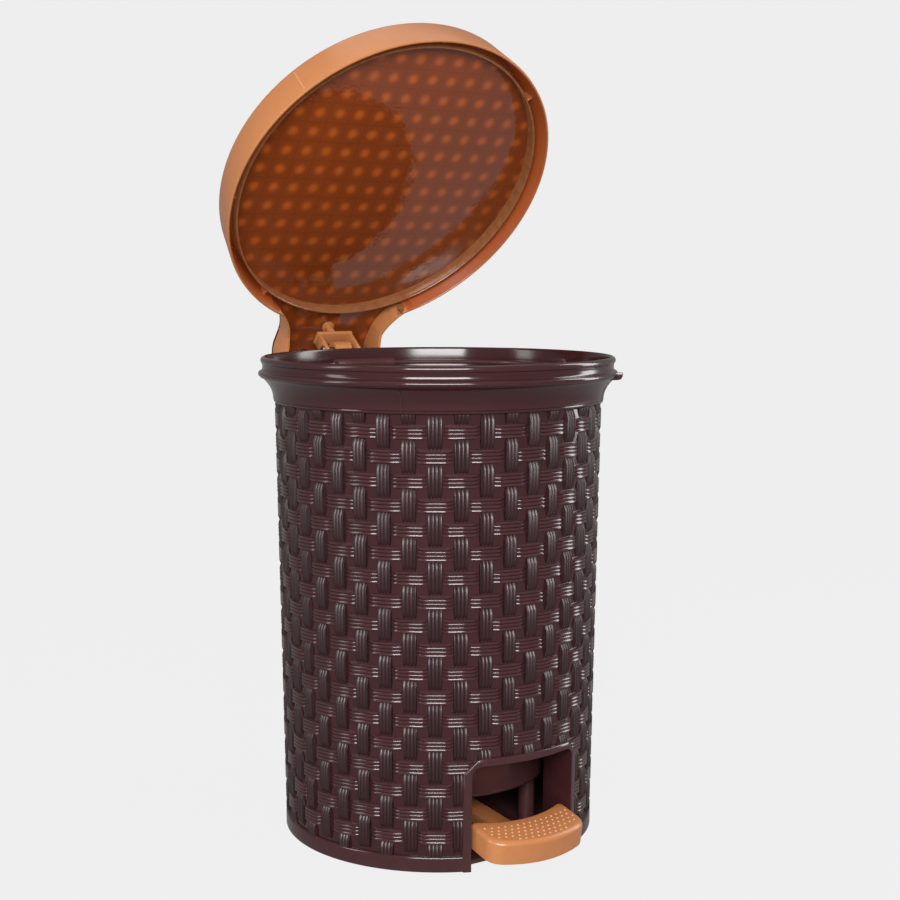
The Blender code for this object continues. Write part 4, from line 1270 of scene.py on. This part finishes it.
# ------------------------------------------------------------------ pedal
@dataclass
class Pedal:
    """Foot plate with grip dots on its lever arm."""

    finishes: Finishes
    half: float = 0.042
    back: float = -0.103
    hollow: float = 0.0100
    corner: float = -0.1355
    nose: float = -0.1465
    top: float = 0.0343
    depth: float = 0.0178
    wall: float = 0.0025
    soften: float = 0.0036
    tilt: float = math.radians(10.0)

    def tilted(self, bm: bmesh.types.BMesh) -> bmesh.types.BMesh:
        """Tilt the plate nose-down about its back edge and lift it to its height."""
        bmesh.ops.rotate(bm, verts=bm.verts, cent=(0, self.back, 0),
                         matrix=Matrix.Rotation(self.tilt, 3, "X"))
        bmesh.ops.translate(bm, verts=bm.verts, vec=(0, 0, self.top))
        return bm

    def edge_y(self, x: float) -> float:
        """Nose line of the plate at a place across it."""
        return self.corner + (self.nose - self.corner) * (1 - (x / self.half) ** 2)

    def outline(self, inset: float) -> list[Point]:
        """Plan of the plate with rounded corners, pulled in by an inset.

        Args:
            inset: distance in from the outer edge.

        Returns:
            The closed outline.
        """
        w, cut, back_cut = self.half - inset, 0.0085, 0.0045

        def nose(x: float) -> Point:
            """Point on the bowed front edge."""
            return x, self.edge_y(x * self.half / w) + inset

        def back(x: float) -> Point:
            """Point on the hollow back edge."""
            return x, self.back - inset - self.hollow * (1 - (x / w) ** 2)

        def corner(a: Point, tip: Point, b: Point) -> list[Point]:
            """Rounded corner between two points."""
            return [tuple((1 - t) ** 2 * p + 2 * t * (1 - t) * q + t * t * r
                          for p, q, r in zip(a, tip, b)) for t in (0.0, 0.15, 0.3, 0.45, 0.6, 0.75, 0.9, 1.0)]

        front = corner((w, self.corner + inset + cut), (w, self.corner + inset), nose(w - cut))
        front += [nose((w - cut) * s) for s in (0.8, 0.6, 0.4, 0.2, 0.0, -0.2, -0.4, -0.6, -0.8)]
        front += [(-x, y) for x, y in reversed(front[:8])]
        rear = corner((-w, self.back - inset - back_cut), (-w, self.back - inset), back(-w + back_cut))
        rear += [back((w - back_cut) * s) for s in (-0.8, -0.6, -0.4, -0.2, 0.0, 0.2, 0.4, 0.6, 0.8)]
        rear += [(-x, y) for x, y in reversed(rear[:8])]
        return front + rear

    def build(self) -> None:
        """Build the foot plate, its dots and the arm."""
        turn = self.soften
        layers = [(self.wall, -self.wall), (self.wall, -self.depth), (0.0004, -self.depth),
                  (0.0, -self.depth + 0.0004), (0.0, -turn)]
        layers += [(turn * (1 - math.cos(math.radians(a))), -turn * (1 - math.sin(math.radians(a))))
                   for a in (15, 30, 45, 60, 75, 90)]
        bm = bmesh.new()
        rings = [[bm.verts.new((x, y, z)) for x, y in self.outline(inset)] for inset, z in layers]
        loops = [[bm.edges.new(p) for p in zip(r, r[1:] + r[:1])] for r in rings]
        for low, high in zip(loops, loops[1:]):
            bmesh.ops.bridge_loops(bm, edges=low + high)
        bm.faces.new(rings[0])
        bm.faces.new(rings[-1])
        plate = Piece("foot_plate", self.tilted(bm), "pedal", "pedal_plastic", self.finishes.tan, 35)
        plate.place(["pedal_lever"])
        self.build_dots()
        self.build_arm()

    def build_dots(self) -> None:
        """Rows of small raised grip dots."""
        bm = bmesh.new()
        for row in range(5):
            shift = 0.5 * (row % 2)
            for i in range(-7, 8):
                x = (i + shift) * 0.0052
                front, back = self.edge_y(x), self.back - self.hollow * (1 - (x / self.half) ** 2)
                y = self.edge_y(x * 0.8) + 0.0062 + row * 0.0046
                if abs(x) > self.half - 0.0055 or y > back - 0.0045 or y < front + 0.0048:
                    continue
                bmesh.ops.create_uvsphere(bm, u_segments=8, v_segments=4, radius=0.0010,
                                          matrix=Matrix.Translation((x, y, -0.0001))
                                          @ Matrix.Diagonal((1, 1, 0.6, 1)))
        Piece("grip_dots", self.tilted(bm), "pedal", "pedal_plastic", self.finishes.pale, 60).place()

    def build_arm(self) -> None:
        """Lever arm with the fulcrum eye and the fork."""
        fy, fz, py, pz = 0.025, 0.022, 0.150, 0.033
        outline = [(-0.1340, 0.0130), (-0.1340, 0.0266), (-0.1125, 0.0298), (-0.1085, 0.0190)]
        outline += arc_points((fy, fz), 0.0068, 125, 62, 8) + arc_points((py, pz), 0.0058, 95, -85, 16)
        outline += arc_points((fy, fz), 0.0068, -60, -118, 8) + [(-0.1085, 0.0120)]
        bm = bmesh.new()
        draw_plate(bm, outline, -0.0085, 0.0085, Along.X)
        round_edges(bm, sharp_edges(bm, 60), 0.0006, 2)
        arm = Piece("pedal_arm", bm, "pedal", "pedal_plastic", self.finishes.tan, 35).place()
        fork = bmesh.new()
        draw_plate(fork, [(py - 0.014, 0.0), (py + 0.02, 0.0), (py + 0.02, 0.06), (py - 0.014, 0.06)],
                   -0.005, 0.005, Along.X)
        carve(arm, [fork, bore((0, fy, fz), 0.00309, 0.05), bore((0, py, pz), 0.00225, 0.05)])


# ------------------------------------------------------------------ bucket and carried-over parts
@dataclass
class Bucket:
    """Smooth lift-out bucket with its bail lugs."""

    finishes: Finishes
    low: float = 0.0415
    rim: float = RIM_H - 0.0168
    bottom_r: float = 0.0840
    top_r: float = 0.1080
    rim_r: float = 0.1265
    wall: float = 0.0020

    def build(self) -> None:
        """Build the bucket."""
        lo, hi, rb, rt = self.low, self.rim, self.bottom_r, self.top_r
        rim, wall = self.rim_r, self.wall
        prof = [(0.0, lo), (rb - 0.0035, lo), (rb - 0.0015, lo + 0.0006), (rb - 0.0004, lo + 0.0018),
                (rb, lo + 0.0035), (rt, hi - 0.0055), (rt + 0.0010, hi - 0.0030), (rim - 0.0003, hi - 0.0024),
                (rim, hi - 0.0014), (rim - 0.0004, hi - 0.0004), (rim - 0.0012, hi),
                (rt - 0.0008, hi), (rt - wall + 0.0002, hi - 0.0006), (rt - wall, hi - 0.0016),
                (rb - wall, lo + 0.0050), (rb - wall - 0.0022, lo + 0.0027), (0.0, lo + 0.0025)]
        bm = bmesh.new()
        spin_profile(bm, prof, 120)
        Piece("bucket_wall", bm, "bucket", "bucket_plastic", self.finishes.inner).place(["inner_bucket"])
        pivot = self.rim + 0.0053
        lug = [(-0.0070, self.rim - 0.0010), (0.0070, self.rim - 0.0010)]
        lug += arc_points((0.0, pivot), 0.0052, 0, 180, 14)
        for side, tag in ((-1, "left"), (1, "right")):
            bm = bmesh.new()
            draw_plate(bm, lug, side * 0.1190, side * 0.1215, Along.X)
            round_edges(bm, sharp_edges(bm, 50), 0.0003, 1)
            obj = Piece(f"bail_lug_{tag}", bm, "bucket", "bucket_plastic", self.finishes.inner).place()
            carve(obj, [bore((0, 0, pivot), 0.0019, 0.3, 20)])


@dataclass
class CarriedParts:
    """CAD pieces whose shape stays, with their finishes."""

    finishes: Finishes

    def dress(self) -> None:
        """Give every kept CAD node its finish."""
        f = self.finishes
        wanted = {"base_plate": f.inner, "rear_cover": f.shell, "rod_guide_lower": f.natural,
                  "rod_guide_upper": f.natural, "hinge_cap": f.tan, "rod_head": f.tan, "bail_grip": f.inner,
                  "bail_handle": f.inner}
        for name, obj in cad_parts.items():
            if obj.hide_render:
                continue
            material = wanted.get(name, f.steel)
            obj.data.materials.clear()
            obj.data.materials.append(material)
            log.info("%-22s kept, %s", name, material.name)


# ------------------------------------------------------------------ studio
@dataclass
class Studio:
    """Pale floor, soft lights and the camera."""

    distance: float = 1.201
    height: float = 0.4299
    azimuth: float = math.radians(-33.3)
    pitch: float = 0.1138
    lens: float = 62.416
    shift: float = 0.01327
    floor_tone: float = 0.853
    floor_bounce: float = 0.32
    ambient: float = 0.27

    def build(self) -> None:
        """Build the floor, the world, the lights and the camera."""
        self.build_floor()
        self.build_world()
        self.add_light("key_softbox", (-0.92, -1.40, 0.82), (0.0, 0.0, 0.22), (1.20, 0.66), 44.0)
        self.add_light("left_strip", (-1.55, 0.25, 0.85), (0.0, 0.0, 0.25), (0.35, 1.3), 7.0)
        self.add_light("right_strip", (1.30, -0.35, 0.75), (0.0, 0.0, 0.25), (0.40, 1.3), 12.0)
        self.add_light("top_softbox", (0.2, 0.3, 2.0), (0.0, 0.0, 0.3), (1.4, 1.4), 5.0)
        self.build_camera()

    def build_floor(self) -> None:
        """Pale seamless floor."""
        bm = bmesh.new()
        bmesh.ops.create_grid(bm, x_segments=2, y_segments=2, size=40.0)
        floor = to_scene("floor", to_mesh(bm, "floor"))
        material = bpy.data.materials.new("pale_floor")
        material.use_nodes = True
        shader = material.node_tree.nodes["Principled BSDF"]
        shader.inputs["Base Color"].default_value = (0.012, 0.012, 0.012, 1.0)
        shader.inputs["Roughness"].default_value = 1.0
        shader.inputs["Specular IOR Level"].default_value = 0.0
        shader.inputs["Emission Color"].default_value = (1.0, 1.0, 1.0, 1.0)
        self.seen_level(material.node_tree, shader.inputs["Emission Strength"], self.floor_bounce,
                        self.floor_tone - 0.004)
        floor.data.materials.append(material)

    def build_world(self) -> None:
        """Even surroundings, a little dimmer for the light they throw than as a backdrop."""
        world = bpy.data.worlds.new("studio")
        bpy.context.scene.world = world
        world.use_nodes = True
        tree = world.node_tree
        back = tree.nodes["Background"]
        back.inputs["Color"].default_value = (1.0, 1.0, 1.0, 1.0)
        self.seen_level(tree, back.inputs["Strength"], self.ambient, self.floor_tone)

    @staticmethod
    def seen_level(tree: bpy.types.NodeTree, socket: bpy.types.NodeSocket, thrown: float,
                   seen: float) -> None:
        """Give a brightness one value as a backdrop and another for the light it throws.

        Args:
            tree: node tree of the world or floor.
            socket: strength input.
            thrown: strength for reflections and bounced light.
            seen: strength as a backdrop.
        """
        path = tree.nodes.new("ShaderNodeLightPath")
        level = tree.nodes.new("ShaderNodeMapRange")
        level.inputs["To Min"].default_value = thrown
        level.inputs["To Max"].default_value = seen
        tree.links.new(path.outputs["Is Camera Ray"], level.inputs["Value"])
        tree.links.new(level.outputs["Result"], socket)

    @staticmethod
    def add_light(name: str, place: Sequence[float], target: Sequence[float], size: Point,
                  power: float) -> None:
        """Add one soft area light.

        Args:
            name: light name.
            place: position.
            target: point it faces.
            size: width and height.
            power: watts.
        """
        data = bpy.data.lights.new(name, "AREA")
        data.shape = "RECTANGLE"
        data.size, data.size_y = size
        data.energy = power
        light = to_scene(name, data)
        light.location = place
        light.rotation_euler = (Vector(target) - Vector(place)).to_track_quat("-Z", "Y").to_euler()

    def build_camera(self) -> None:
        """Camera at standing height, a little to the left of the pedal."""
        data = bpy.data.cameras.new("camera")
        data.lens, data.sensor_width = self.lens, 36.0
        data.shift_x = self.shift
        data.clip_start, data.clip_end = 0.01, 200.0
        camera = to_scene("camera", data)
        camera.location = (self.distance * math.sin(self.azimuth), -self.distance * math.cos(self.azimuth),
                           self.height)
        camera.rotation_euler = (math.pi / 2 - self.pitch, 0.0, self.azimuth)
        bpy.context.scene.camera = camera


def main() -> None:
    """Build the bin and its studio."""
    bpy.context.scene.view_settings.view_transform = "Standard"
    finishes = Finishes.build(SharedEffects.build())
    shell = ShellBody(finishes)
    shell.build()
    WovenWall(finishes, shell).build()
    Lid(finishes).build()
    Pedal(finishes).build()
    Bucket(finishes).build()
    CarriedParts(finishes).dress()
    Studio().build()


if __name__ == "__main__":
    main()
